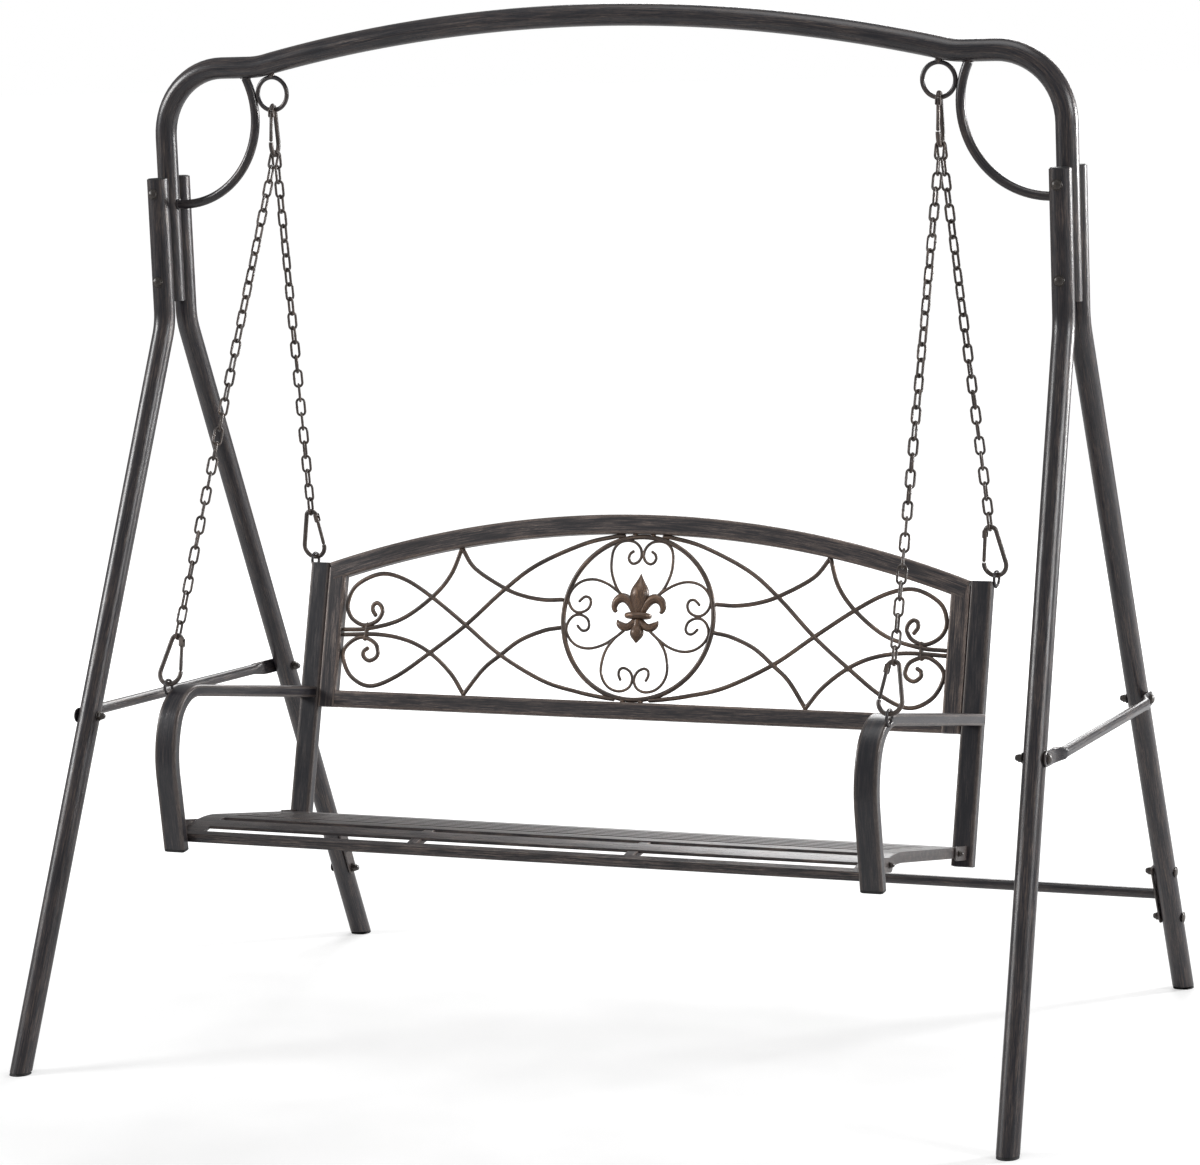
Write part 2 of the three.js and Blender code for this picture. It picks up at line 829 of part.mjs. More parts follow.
function rearPost(side) {
  const bar = lug(side, rearSeatBoltY - lugEnd, postFootY + tubeDepth / 2, rearSeatBoltY);
  const centre = rearEyeCentre();
  const whole = postBlank(side).add(bar).add(eye(postOuterX, centre.y, centre.z, side));
  return geometryOf(whole.subtract(seatBoltHole(side, rearSeatBoltY)));
}

// Back: W is measured up the slope of the posts from their feet

function archShape(halfWidth, crownW, radius, bottomW) {
  const shape = new THREE.Shape();
  const corner = crownW - radius + circleHeight(halfWidth, radius);
  shape.moveTo(-halfWidth, bottomW);
  shape.lineTo(halfWidth, bottomW);
  shape.lineTo(halfWidth, corner);
  for (let i = 1; i <= archChords; i += 1) {
    const x = halfWidth * (1 - (2 * i) / archChords);
    shape.lineTo(x, crownW - radius + circleHeight(x, radius));
  }
  return shape;
}

function standUp(geometry, depth) {
  return geometry.rotateX(Math.PI / 2).translate(0, depth, 0);
}

function backFrame() {
  const bottomW = backBottomRailTop - backBottomRailFace;
  const outer = archShape(backHalfWidth, backCrownW, backArcRadius, bottomW);
  const innerRadius = backArcRadius - backRailFace;
  outer.holes.push(archShape(backInnerHalfWidth, backCrownW - backRailFace, innerRadius, backBottomRailTop));
  const settings = { depth: backFrameDepth, bevelEnabled: false };
  const frame = standUp(new THREE.ExtrudeGeometry(outer, settings), backFrameDepth - backProud);
  return inBackFrame(frame);
}

function rod(places, diameter, steps, rodFaces) {
  const curve = new THREE.CatmullRomCurve3(places, false, "centripetal");
  return solidOf(sweep(roundSection(diameter / 2, rodFaces), curve.getSpacedPoints(steps)));
}

function latticePlace(side, [across, up]) {
  const x = -side.sign * across * backInnerHalfWidth;
  return new THREE.Vector3(x, backMiddleDepth, postLength + up * backInnerHeight);
}

function backOpening(gap) {
  const radius = backArcRadius - backRailFace - gap;
  const crown = backCrownW - backRailFace - gap;
  const shape = archShape(backInnerHalfWidth - gap, crown, radius, backBottomRailTop + gap);
  const settings = { depth: backFrameDepth * 2, bevelEnabled: false };
  return solidOf(standUp(new THREE.ExtrudeGeometry(shape, settings), backFrameDepth * 1.5));
}

function medallionDisc(radius) {
  return rodAlong("y", radius, backFrameDepth * 2, medallionChords, 0, backMiddleDepth, medallionCentreW);
}

function lattice(side) {
  const rods = latticeShares.map((shares) => {
    const places = shares.map((share) => latticePlace(side, share));
    return rod(places, latticeRodDiameter, Math.round(shares.length * rodStepsPerPlace), rodSides);
  });
  const tiePlaces = curlTieShares.map((share) => latticePlace(side, share));
  rods.push(rod(tiePlaces, latticeRodDiameter, 2, rodSides));
  const reach = medallionRadius + ringRodDiameter / 2 + restGap;
  const trimmed = join(rods).intersect(backOpening(restGap)).subtract(medallionDisc(reach));
  return inBackFrame(geometryOf(trimmed));
}

function medallion() {
  const ring = new THREE.TorusGeometry(medallionRadius, ringRodDiameter / 2, wireSides, medallionChords);
  ring.rotateX(Math.PI / 2).translate(0, backMiddleDepth, medallionCentreW);
  const pieces = [solidOf(ring)];
  for (let quarter = 0; quarter < 4; quarter += 1) {
    const axis = (quarter * Math.PI) / 2;
    for (const side of sides) {
      const places = heartShares.map(([out, across]) => {
        const u = out * medallionRadius;
        const v = side.sign * across * medallionRadius;
        const x = u * Math.cos(axis) - v * Math.sin(axis);
        const w = medallionCentreW + u * Math.sin(axis) + v * Math.cos(axis);
        return new THREE.Vector3(x, backMiddleDepth, w);
      });
      pieces.push(rod(places, scrollRodDiameter, heartSteps, scrollRodSides));
    }
  }
  return inBackFrame(geometryOf(join(pieces).subtract(ornamentSolid(restGap))));
}

function leaf(shares, mirror, grow) {
  const shape = new THREE.Shape();
  shape.setFromPoints(
    new THREE.CatmullRomCurve3(
      shares.map(([x, w]) => new THREE.Vector3(mirror * x * medallionRadius, w * medallionRadius, 0)),
      true,
    )
      .getPoints(Math.round(shares.length * leafStepsPerPlace))
      .slice(1),
  );
  const depth = leafThicknessShare * medallionRadius;
  const bevel = leafBevelShare * medallionRadius;
  const settings = {
    depth,
    bevelEnabled: true,
    bevelThickness: bevel + grow,
    bevelSize: bevel + grow,
    bevelSegments: 1,
  };
  return solidOf(standUp(new THREE.ExtrudeGeometry(shape, settings), depth / 2));
}

function ornamentSolid(grow) {
  const profile = petalShares.map(([radius, w]) => {
    const thick = radius === 0 ? 0 : radius * medallionRadius + grow;
    return new THREE.Vector2(thick, w * medallionRadius + grow * Math.sign(w));
  });
  const petal = new THREE.LatheGeometry(profile.reverse(), petalSides);
  petal.scale(1, 1, petalDepthShare).rotateX(Math.PI / 2);
  const pieces = [solidOf(petal)];
  for (const side of sides) {
    pieces.push(leaf(upperLeafShares, side.sign, grow));
    pieces.push(leaf(lowerLeafShares, side.sign, grow));
  }
  const shift = new THREE.Matrix4().makeTranslation(0, backMiddleDepth, medallionCentreW);
  return solidOf(geometryOf(join(pieces)).applyMatrix4(shift));
}

function ornament() {
  return inBackFrame(geometryOf(ornamentSolid(0)));
}

// Seat

function seatProfile(topDrop, bottomDrop, rearY, frontY) {
  const steps = 6;
  const places = [rearY];
  for (let i = 0; i <= steps; i += 1) {
    places.push(seatKneeY + ((frontY - seatKneeY) * i) / steps);
  }
  const height = (y, drop) => seatTopZ - seatCurveDrop(y) - drop;
  const upper = places.map((y) => new THREE.Vector2(y, height(y, topDrop)));
  const lower = places.map((y) => new THREE.Vector2(y, height(y, bottomDrop)));
  return new THREE.Shape([...upper, ...lower.reverse()]);
}

// Shapes drawn in Y and Z, drawn out along X about a middle
function drawnOut(shape, width, middleX) {
  const geometry = new THREE.ExtrudeGeometry(shape, { depth: width, bevelEnabled: false });
  geometry.rotateX(Math.PI / 2).rotateZ(Math.PI / 2);
  return solidOf(geometry.translate(middleX - width / 2, 0, 0));
}

function seat() {
  const width = seatHalfWidth * 2;
  let sheet = drawnOut(seatProfile(0, seatSheet, seatRearY, seatFrontY), width, 0);
  const lips = [];
  for (let i = 0; i < slotCount; i += 1) {
    const y = firstSlotY + i * slotPitch;
    sheet = sheet.subtract(boxSolid(slotHalfLength * 2, slotWidth, slotCut, 0, y, seatTopZ - seatCurveDrop(y)));
    const lipY = y + slotWidth / 2 + restGap + seatSheet / 2;
    const lipTop = seatTopZ - seatCurveDrop(lipY) - seatSheet / 2;
    const lipLength = (slotHalfLength + seatSheet) * 2;
    lips.push(boxSolid(lipLength, seatSheet, slotLipDepth, 0, lipY, lipTop - slotLipDepth / 2));
  }
  const frontTop = seatTopZ - seatCurveDrop(seatFrontY);
  const pieces = [
    sheet,
    ...lips,
    boxSolid(width, seatSheet, seatFrontFlange, 0, seatFrontY + seatSheet / 2, frontTop - seatFrontFlange / 2),
    boxSolid(width, seatSheet, seatFlange, 0, seatRearY - seatSheet / 2, seatTopZ - seatFlange / 2),
  ];
  for (const side of sides) {
    const flange = seatProfile(0, seatFlange, seatRearY, seatFrontY);
    pieces.push(drawnOut(flange, seatSheet, side.sign * (seatHalfWidth - seatSheet / 2)));
    const support = seatProfile(seatSheet / 2, seatSupportDepth, seatRearY - restGap, seatFrontY + restGap);
    pieces.push(drawnOut(support, seatSupportWidth, side.sign * seatSupportX));
  }
  let whole = join(pieces);
  for (const side of sides) {
    whole = whole.subtract(seatBoltHole(side, frontSeatBoltY));
    whole = whole.subtract(seatBoltHole(side, rearSeatBoltY));
  }
  return geometryOf(whole);
}

function seatBolt(side, y) {
  const grip = seatSheet + tabThickness + restGap;
  const z = seatTopZ - seatCurveDrop(y) - seatBoltDrop;
  const bolt = boltWithNut(seatBoltDiameter, seatBoltHeadDiameter, grip);
  bolt.rotateZ((-side.sign * Math.PI) / 2);
  return bolt.translate(side.sign * (seatHalfWidth - seatSheet + grip / 2), y, z);
}

// Hangers

// A loop of wire with round ends and straight sides: it is long along Z and flat in Y
function stadiumLoop(radius, wire, innerLength) {
  const loop = new THREE.TorusGeometry(radius, wire / 2, linkWireSides, linkChords);
  loop.rotateZ(Math.PI / linkChords);
  const stretch = innerLength / 2 - (radius - wire / 2) * Math.cos(Math.PI / linkChords);
  const place = loop.attributes.position;
  for (let i = 0; i < place.count; i += 1) {
    place.setY(i, place.getY(i) + Math.sign(place.getY(i)) * stretch);
  }
  return loop.rotateX(Math.PI / 2);
}

const hookTaper = Math.asin((hookWideRadius - hookNarrowRadius) / (hookLength - hookWideRadius - hookNarrowRadius));
const hookNarrowZ = hookLength - hookNarrowRadius;
const gateTop = new THREE.Vector3(
  hookNarrowRadius * Math.cos(hookTaper),
  0,
  hookNarrowZ + hookNarrowRadius * Math.sin(hookTaper),
);
const gateBottom = new THREE.Vector3(
  hookWideRadius * Math.cos(hookTaper),
  0,
  hookWideRadius + hookWideRadius * Math.sin(hookTaper),
);
const gateLine = gateBottom.clone().sub(gateTop).normalize();
const gatePivot = gateTop.clone().addScaledVector(gateLine, gateEndGap + hookPivotInset);

// A pear-shaped snap hook: the origin is in the wire at its wide end, +Z runs to its narrow end and the
// gate is on the +X side
function hookFrame() {
  const points = [];
  const wideTurn = -Math.PI - hookTaper * 2;
  const narrowTurn = -Math.PI + hookTaper * 2;
  const arc = (radius, centreZ, start, turn, chords) => {
    for (let i = 0; i <= chords; i += 1) {
      const angle = start + (turn * i) / chords;
      points.push(new THREE.Vector3(radius * Math.cos(angle), 0, centreZ + radius * Math.sin(angle)));
    }
  };
  arc(hookWideRadius, hookWideRadius, hookTaper, wideTurn, cornerChords + 3);
  arc(hookNarrowRadius, hookNarrowZ, Math.PI - hookTaper, narrowTurn, cornerChords);
  let wire = solidOf(sweep(roundSection(hookWire / 2, wireSides), points));
  const cheekLength = gateEndGap + hookPivotInset * 2;
  for (const face of [-1, 1]) {
    const cheek = new THREE.BoxGeometry(hookWire, hookCheekThickness, cheekLength);
    cheek.rotateY(Math.atan2(gateLine.x, gateLine.z));
    const middle = gateTop.clone().addScaledVector(gateLine, cheekLength / 2 - hookWire / 2);
    const y = face * (gateDiameter / 2 + restGap + hookCheekThickness / 2);
    wire = wire.add(solidOf(cheek.translate(middle.x, y, middle.z)));
  }
  const pinLength = gateDiameter + restGap * 2 + hookCheekThickness;
  const pin = rodAlong("y", gatePinDiameter / 2, pinLength, boltSides, gatePivot.x, 0, gatePivot.z);
  return geometryOf(wire.add(pin));
}

function hookGate() {
  const start = gateTop.clone().addScaledVector(gateLine, gateEndGap);
  const end = gateBottom.clone().addScaledVector(gateLine, -gateLatchGap);
  const bar = solidOf(sweep(roundSection(gateDiameter / 2, wireSides), [start, end]));
  const radius = gatePinDiameter / 2 + gatePlay / 2;
  return geometryOf(bar.subtract(rodAlong("y", radius, gateDiameter * 2, boltSides, gatePivot.x, 0, gatePivot.z)));
}

// Hangs a hook between two points, its loop in the plane of its own line and the given sideways direction
function hookPlace(at, along, sideways) {
  const up = along.clone().normalize();
  const across = sideways.clone().addScaledVector(up, -sideways.dot(up)).normalize();
  const normal = up.clone().cross(across);
  return new THREE.Matrix4().makeBasis(across, normal, up).setPosition(at);
}

// Welded links between two hook wires, each seated on the next. The first lies across a hook turned by startTurn.
function chain(from, to, count, startTurn) {
  const along = to.clone().sub(from);
  const direction = along.clone().normalize();
  const seatDepth = hookWire / 2 + restGap + chainWire / 2;
  const inner = (along.length() + seatDepth * 2 - chainWire - crownBite * (count - 1)) / count;
  const loop = stadiumLoop((chainLinkWidth - chainWire) / 2, chainWire, inner);
  const across = new THREE.Vector3(1, 0, 0).addScaledVector(direction, -direction.x).normalize();
  const frame = new THREE.Matrix4().makeBasis(across, direction.clone().cross(across), direction);
  const links = [];
  for (let i = 0; i < count; i += 1) {
    const twist = THREE.MathUtils.lerp(-startTurn, THREE.MathUtils.degToRad(chainTwistDegrees), i / (count - 1));
    const run = (inner + chainWire) / 2 - seatDepth + (inner + crownBite) * i;
    const at = from.clone().addScaledVector(direction, run);
    const link = loop.clone().rotateZ((i % 2) * (Math.PI / 2) + twist);
    links.push(solidOf(link.applyMatrix4(frame).translate(at.x, at.y, at.z)));
  }
  return geometryOf(join(links));
}

// Assembly

const swingBench = new THREE.Group();
const stand = new THREE.Group();
swingBench.add(stand);
stand.add(named("top_beam", topBeam(), darkBronzePaint()));
stand.add(named("rear_crossbar", rearCrossbar(), darkBronzePaint()));
for (const side of sides) {
  for (const end of ends) {
    stand.add(named(`leg_${end.word}_${side.word}`, leg(side, end), darkBronzePaint()));
    stand.add(named(`foot_plug_${end.word}_${side.word}`, footPlug(side, end), blackPlastic()));
    stand.add(named(`brace_bolt_${end.word}_${side.word}`, braceBolt(side, end), fastenerBlack()));
  }
  stand.add(named(`corner_arc_${side.word}`, cornerArc(side), darkBronzePaint()));
  stand.add(named(`hanging_ring_${side.word}`, hangingRing(side), darkBronzePaint()));
  stand.add(named(`side_brace_${side.word}`, sideBrace(side), darkBronzePaint()));
  ["upper", "lower"].forEach((word, i) => {
    stand.add(named(`beam_bolt_${word}_${side.word}`, beamBolt(side, beamBoltHeights[i]), fastenerBlack()));
    const bolt = crossbarBolt(side, crossbarBoltHeights[i]);
    stand.add(named(`crossbar_bolt_${word}_${side.word}`, bolt, fastenerBlack()));
  });
}

const bench = new THREE.Group();
bench.rotation.x = -benchPitch;
bench.position.z = pivotZ - benchOriginDrop;
bench.updateMatrixWorld(true);
swingBench.add(bench);
bench.add(named("back_frame", backFrame(), darkBronzePaint()));
bench.add(named("medallion", medallion(), darkBronzePaint()));
bench.add(named("ornament", ornament(), rubbedCopper()));
bench.add(named("seat", seat(), darkBronzePaint()));

// The middle of the wire of the hook that an eye hangs from
function hookWirePlace(side, end) {
  const front = end.word === "front";
  const outerX = front ? armOuterX : postOuterX;
  const centre = front ? new THREE.Vector3(0, frontEyeY, frontEyeZ) : rearEyeCentre();
  const wireX = side.sign * (outerX + eyeWire / 2 - weldBite);
  const eyeInnerRadius = (eyeOuterDiameter / 2 - eyeWire) * Math.cos(Math.PI / eyeChords);
  const place = centre.setX(wireX).applyMatrix4(bench.matrixWorld);
  return place.setZ(place.z + eyeInnerRadius - restGap - hookWire / 2);
}

const ringGap = ringWireDiameter / 2 + restGap + hookWire / 2;
for (const side of sides) {
  bench.add(named(`arm_${side.word}`, armTube(side), darkBronzePaint()));
  bench.add(named(`arm_plug_${side.word}`, armPlug(side), blackPlastic()));
  bench.add(named(`post_${side.word}`, rearPost(side), darkBronzePaint()));
  bench.add(named(`lattice_${side.word}`, lattice(side), darkBronzePaint()));
  bench.add(named(`seat_bolt_front_${side.word}`, seatBolt(side, frontSeatBoltY), fastenerBlack()));
  bench.add(named(`seat_bolt_rear_${side.word}`, seatBolt(side, rearSeatBoltY), fastenerBlack()));

  const topWire = new THREE.Vector3(side.sign * ringHalfSpan, 0, pivotZ + ringGap - hookLength);
  const up = new THREE.Vector3(0, 0, 1);
  const turn = THREE.MathUtils.degToRad(topHookTurnDegrees[side.word]);
  const facing = new THREE.Vector3(Math.sin(turn), -Math.cos(turn), 0);
  const topHook = hookPlace(topWire, up, facing);
  swingBench.add(named(`hook_top_${side.word}`, hookFrame().applyMatrix4(topHook), hangerBronze()));
  swingBench.add(named(`gate_top_${side.word}`, hookGate().applyMatrix4(topHook), hangerBronze()));

  for (const end of ends) {
    const low = hookWirePlace(side, end);
    const rise = hookWideRadius - circleHeight(chainSpread, hookWideRadius);
    const high = topWire.clone().addScaledVector(facing, -end.sign * chainSpread).addScaledVector(up, rise);
    const lowHook = hookPlace(low, high.clone().sub(low), new THREE.Vector3(-side.sign, 0, 0));
    swingBench.add(named(`hook_${end.word}_${side.word}`, hookFrame().applyMatrix4(lowHook), hangerBronze()));
    swingBench.add(named(`gate_${end.word}_${side.word}`, hookGate().applyMatrix4(lowHook), hangerBronze()));
    const chainFoot = new THREE.Vector3(0, 0, hookLength).applyMatrix4(lowHook);
    const links = end.word === "front" ? frontLinkCount : rearLinkCount;
    const linked = chain(high, chainFoot, links, turn);
    swingBench.add(named(`chain_${end.word}_${side.word}`, linked, hangerBronze()));
  }
}

export default swingBench;
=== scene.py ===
"""Looks of the garden swing bench: smooth painted tubes, curled rods, links and castings round the frame."""

import random
from math import asin, atan2, copysign, cos, hypot, pi, radians, sin, sqrt, tan

import bmesh
import bpy
from mathutils import Matrix, Vector


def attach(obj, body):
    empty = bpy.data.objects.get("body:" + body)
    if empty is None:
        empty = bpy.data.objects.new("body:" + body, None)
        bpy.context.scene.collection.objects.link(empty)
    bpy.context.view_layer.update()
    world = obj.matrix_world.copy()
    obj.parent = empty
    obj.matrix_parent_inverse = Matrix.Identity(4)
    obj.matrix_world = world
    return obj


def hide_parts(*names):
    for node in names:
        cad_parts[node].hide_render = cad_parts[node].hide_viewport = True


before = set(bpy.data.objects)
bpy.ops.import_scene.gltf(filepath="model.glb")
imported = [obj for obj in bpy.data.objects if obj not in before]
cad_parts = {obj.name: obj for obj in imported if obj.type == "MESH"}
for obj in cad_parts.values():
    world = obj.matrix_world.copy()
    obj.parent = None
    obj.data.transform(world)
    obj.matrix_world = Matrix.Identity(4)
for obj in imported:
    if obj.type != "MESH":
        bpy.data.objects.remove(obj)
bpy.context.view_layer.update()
random.seed(7)

MM = 0.001
X_AXIS = Vector((1, 0, 0))
Y_AXIS = Vector((0, 1, 0))
Z_AXIS = Vector((0, 0, 1))
SIDES = (("left", -1), ("right", 1))

# Sizes in millimetres, as in the solids; the rods of lattice and hearts are drawn a little thicker
TUBE = 38
ARC_TUBE = 16
BRACE_TUBE = 19
GAP = 0.3
DOWN_X = 844
SHOULDER_Z = 1698
CROWN_Z = 1772.5
ARCH_RADIUS = 2900
ARCH_HALF = 620
SHOULDER_X = 652
SHOULDER_BEND = 150
CORNER_BEND = 120
DOWN_BOTTOM = 1286
LEG_TOP = 1506
LEG_BEND_Z = 1248.7
LEG_BEND = 110
FOOT_Y = 567
FOOT_X = {"front": 901.3, "rear": 831.7}
END_SIGN = {"front": -1, "rear": 1}
FOOT_PLUG = 5
ARC_RADIUS = 154
ARC_X = 815
ARC_Z = 1612
RING_X = 624.5
RING_RADIUS = 29
RING_WIRE = 8
BRACE_Z = {"front": 586, "rear": 568}
TAB = 3
TAB_HALF_HEIGHT = 13
TAB_OVERHANG = 16
TAB_LENGTH = 58
CROSSBAR_Z = 188
CROSSBAR_BOLT = 45
PLATE_WIDTH = 25
PLATE_LENGTH = 118
BEAM_BOLTS = (1480, 1324)
PITCH = radians(10.2)
BENCH_DROP = 1221.4
FACE = 40
DEPTH = 20
LOW_HEAD = 0.42
TUBE_CORNER = 4.2
POST_FACE = 38
POST_X = 653
ARM_X = 660
ARM_FOOT = (-432.5, -92)
ARM_LEAN = radians(16.5)
ARM_STRAIGHT = 127.8
ARM_SWEEP = 175
ARM_BACK = radians(15)
ARM_BEND = 72
PLUG = 6
POST_FOOT = (-11.1, -68)
POST_LEAN = radians(5.94)
POST_LENGTH = 484
BACK_PROUD = 2
RAIL_FACE = 34
LOW_RAIL_FACE = 30
LOW_RAIL_TOP = 253
RAIL_CORNER = 3.6
FLUSH_STEP = 0.8
CROWN_RISE = 100.4
LATTICE_ROD = 7.9
MEDALLION_ROD = 9
RING_WELD_X = 17
SCROLL_ROD = 5.4
SEAT_HALF = 640
SEAT_TOP = -36
SEAT_REAR = -28
SEAT_KNEE = -300
SEAT_FRONT = -423
SEAT_CURVE = 260
SEAT_SHEET = 1.6
SEAT_FLANGE = 18
SEAT_FRONT_FLANGE = 14
SEAT_EDGE = 0.9
CURVE_STEP = 8
LEAST_CURVE_STEP = 3
SLOT_HALF = 598
SLOT_WIDTH = 19
SLOT_PITCH = 50
FIRST_SLOT = -402
SLOTS = 7
SLOT_MIDDLES = [FIRST_SLOT + i * SLOT_PITCH for i in range(SLOTS)]
SLOT_LIP = 5
SUPPORT_X = 200
SUPPORT_DROP = 7.6
SEAT_BOLTS = {"front": -370, "rear": -49}
SEAT_BOLT_DROP = 10
SEAT_BOLT_SIZE = 0.6
LUG_HEIGHT = 24
LUG_END = 14
HOOK_WIRE = 8
HOOK_WIDE = 20
HOOK_NARROW = 10
HOOK_LENGTH = 87
CHEEK = 1.4
PIVOT_INSET = 7
GATE = 6.4
GATE_END_GAP = 1.8
GATE_LATCH_GAP = 0.9
TOP_HOOK_TURN = {"left": radians(10), "right": radians(9)}
CHAIN_WIRE = 4.5
LINK_WIDTH = 18.5
LINKS = {"front": 33, "rear": 25}
CHAIN_TWIST = radians(90)
CHAIN_SPREAD = 4.5
LINK_WOBBLE = 5
EYE_WIRE = 5
EYE_OUTER = 30
WELD_BITE = 0.8
FRONT_EYE = (-443, 183)
REAR_EYE_DEPTH = 19
REAR_EYE_RISE = 7
EYE_SOLID_CHORDS = 10

# The camera of the photograph
CAMERA_AT = (3.2332, -6.9871, 1.9445)
CAMERA_YAW = 0.4364
CAMERA_PITCH = 0.1478
CAMERA_ROLL = -0.0391
CAMERA_LENS = 134.96
CAMERA_SENSOR = 36
CAMERA_CLIP = 200

# The studio: strengths, the floor's greys and its glow away from the middle, lamps in metres and watts
WHITE = (1, 1, 1, 1)
AMBIENT_LIGHT = 0.3
BACKGROUND_LIGHT = 1.0
FLOOR_REACH = 40
FLOOR_GREYS = (0.6, 0.64)
FLOOR_GLOW = {"From Min": 1.1, "From Max": 3.6, "To Min": 0.4, "To Max": 0.85}
LAMP_AIM = Vector((0, 0, 0.9))
LAMPS = (
    ("key", (-5.0, -2.3, 3.0), 1.5, 145),
    ("fill", (5.2, -0.8, 2.7), 1.2, 70),
    ("back", (-0.8, 5.1, 3.2), 3.2, 185),
    ("top", (0.2, -0.6, 5.4), 2.8, 50),
    ("edge", (4.0, 3.4, 1.7), 0.8, 195),
)

# The brushed glaze: scales across, over and along the bar, and how it changes the paint
STREAK_SCALE = (0.8, 0.8, 0.02)
HAIR_SCALE = (3.2, 3.2, 0.11)
PATCH_SCALE = (0.07, 0.07, 0.012)
EDGE_POWER = 1.6
ROUGHNESS_SPREAD = 0.22
PEEL_SHARE = 0.7
RUBBED_METALLIC = 0.6
PAINT_SPECULAR = 0.7
GRAIN_SHIFT = 900

# How forms are rounded and welded
UNWORN_SHARES = (0.12, 0.88)
FLATTENED_POWER = 0.45
DOME_RINGS = 3
DOME_FLAT = 0.35
DOME_HEIGHT = 0.8
BEAD_STEPS = 36
BEAD_WAVES = 9
BEAD_WAVE_HEIGHT = 0.22
BEAD_UNEVEN = 0.08

RADIUS = TUBE / 2
LEG_Y = TUBE + GAP
ARCH_CENTRE = CROWN_Z - ARCH_RADIUS

# Turned profiles, as radius and height
BALL_PROFILE = [(0.05, -1), (0.5, -0.87), (0.87, -0.5), (1, 0), (0.87, 0.5), (0.5, 0.87), (0.05, 1)]
LEG_CAP_PROFILE = [(RADIUS - 1.5, -2), (RADIUS - 1.2, 0), (RADIUS - 2.6, 1.4), (6, 1.8)]
PIN_PROFILE = [(1.2, -5.4), (2, -5), (2, -4.8), (1.3, -4.7), (1.3, 4.7), (2, 4.8), (2, 5), (1.2, 5.4)]
WELD_RADIUS = CHAIN_WIRE / 2 + 0.25
SEAM_PROFILE = [(0.3, -1.5), (WELD_RADIUS, -1), (WELD_RADIUS + 0.05, 1), (0.3, 1.5)]
# A fastener of size 1, off the faces that it clamps; its tips keep their radius
HEAD_TIP = (1, 6)
HEAD_PROFILE = ((4.6, 5.4), (7.2, 3.8), (8.3, 1.7), (8.4, 1.3), (9.6, 1.3), (9.6, 0), (4, 0))
WASHER_PROFILE = ((4, 0), (9, 0), (9, 1.2), (3.9, 1.2), (3.9, 7))
NUT_PROFILE = ((6.66, 1.2), (7.4, 1.9), (7.4, 6.6), (6.512, 7.6))
DOME_PROFILE = ((5.6, 6.5), (5.5, 9.4), (4.3, 11.8), (2.2, 13))
DOME_TIP = (0.3, 13.2)
# A tube's plug, as height and inset
CAP_PROFILE = ((1, 2.4), (0, 1.2), (-GAP, 0.2), (-2.6, 0), (-4.6, 0.7), (-PLUG + 0.2, 3))


def drop_of(x, radius):
    return sqrt(radius * radius - x * x)


RING_SLOPE = asin(RING_X / ARCH_RADIUS)
RING_OUTER = RING_RADIUS + RING_WIRE / 2
RING_Z = ARCH_CENTRE + drop_of(RING_X, ARCH_RADIUS) - (RADIUS + GAP + RING_OUTER) / cos(RING_SLOPE)
PIVOT_Z = RING_Z - RING_RADIUS
BACK_HALF = POST_X - POST_FACE - GAP
BACK_INNER = BACK_HALF - RAIL_FACE
BACK_HEIGHT = POST_LENGTH - LOW_RAIL_TOP
BACK_CROWN = POST_LENGTH + CROWN_RISE
BACK_ARC = (BACK_HALF**2 + CROWN_RISE**2) / (2 * CROWN_RISE)
MEDALLION_HEIGHT = BACK_CROWN - RAIL_FACE - LOW_RAIL_TOP - 2 * GAP
MEDALLION_RADIUS = MEDALLION_HEIGHT / 2 - MEDALLION_ROD / 2
MEDALLION_W = LOW_RAIL_TOP + GAP + MEDALLION_HEIGHT / 2
BACK_MIDDLE = DEPTH / 2 - BACK_PROUD

BENCH = Matrix.Translation((0, 0, PIVOT_Z - BENCH_DROP)) @ Matrix.Rotation(-PITCH, 4, "X")
BACK = BENCH @ Matrix.Translation((0, POST_FOOT[0], POST_FOOT[1])) @ Matrix.Rotation(-POST_LEAN, 4, "X")

# Rods of the back: shares of the half width outwards, and of the stiles' height down from their top
UPPER_SCROLL_SHARES = (
    (0.89, 0.4), (0.901, 0.36), (0.9, 0.32), (0.886, 0.303), (0.871, 0.335), (0.868, 0.385), (0.887, 0.45),
    (0.93, 0.48), (0.975, 0.42), (0.99, 0.31), (0.965, 0.17), (0.885, 0.075), (0.8, 0.11), (0.702, 0.24),
    (0.575, 0.455), (0.45, 0.675), (0.3, 0.86), (0.18, 0.935), (0.1, 0.968), (0.06, 0.978),
)
LOWER_SCROLL_SHARES = (
    (0.908, 0.66), (0.921, 0.685), (0.92, 0.725), (0.9, 0.757), (0.877, 0.73), (0.872, 0.68), (0.887, 0.612),
    (0.935, 0.575), (0.98, 0.64), (0.992, 0.73), (0.96, 0.88), (0.89, 0.955), (0.8, 0.87), (0.69, 0.675),
    (0.575, 0.45), (0.455, 0.17), (0.35, -0.03), (0.2, -0.2), (0.1, -0.262), (0.066, -0.272),
)
STRAIGHTER_ROD_SHARES = (
    ((0.995, 0.52), (0.91, 0.505), (0.8, 0.425), (0.702, 0.25), (0.642, 0.07), (0.61, -0.145)),
    ((0.995, 0.56), (0.87, 0.55), (0.77, 0.59), (0.69, 0.68), (0.615, 0.83), (0.565, 0.99)),
    ((0.61, -0.145), (0.56, 0.01), (0.455, 0.155), (0.387, 0.212), (0.318, 0.237), (0.255, 0.232)),
    ((0.565, 0.99), (0.505, 0.79), (0.45, 0.675), (0.387, 0.555), (0.31, 0.475), (0.255, 0.448)),
    ((0.915, 0.47), (0.917, 0.53), (0.92, 0.59)),
)
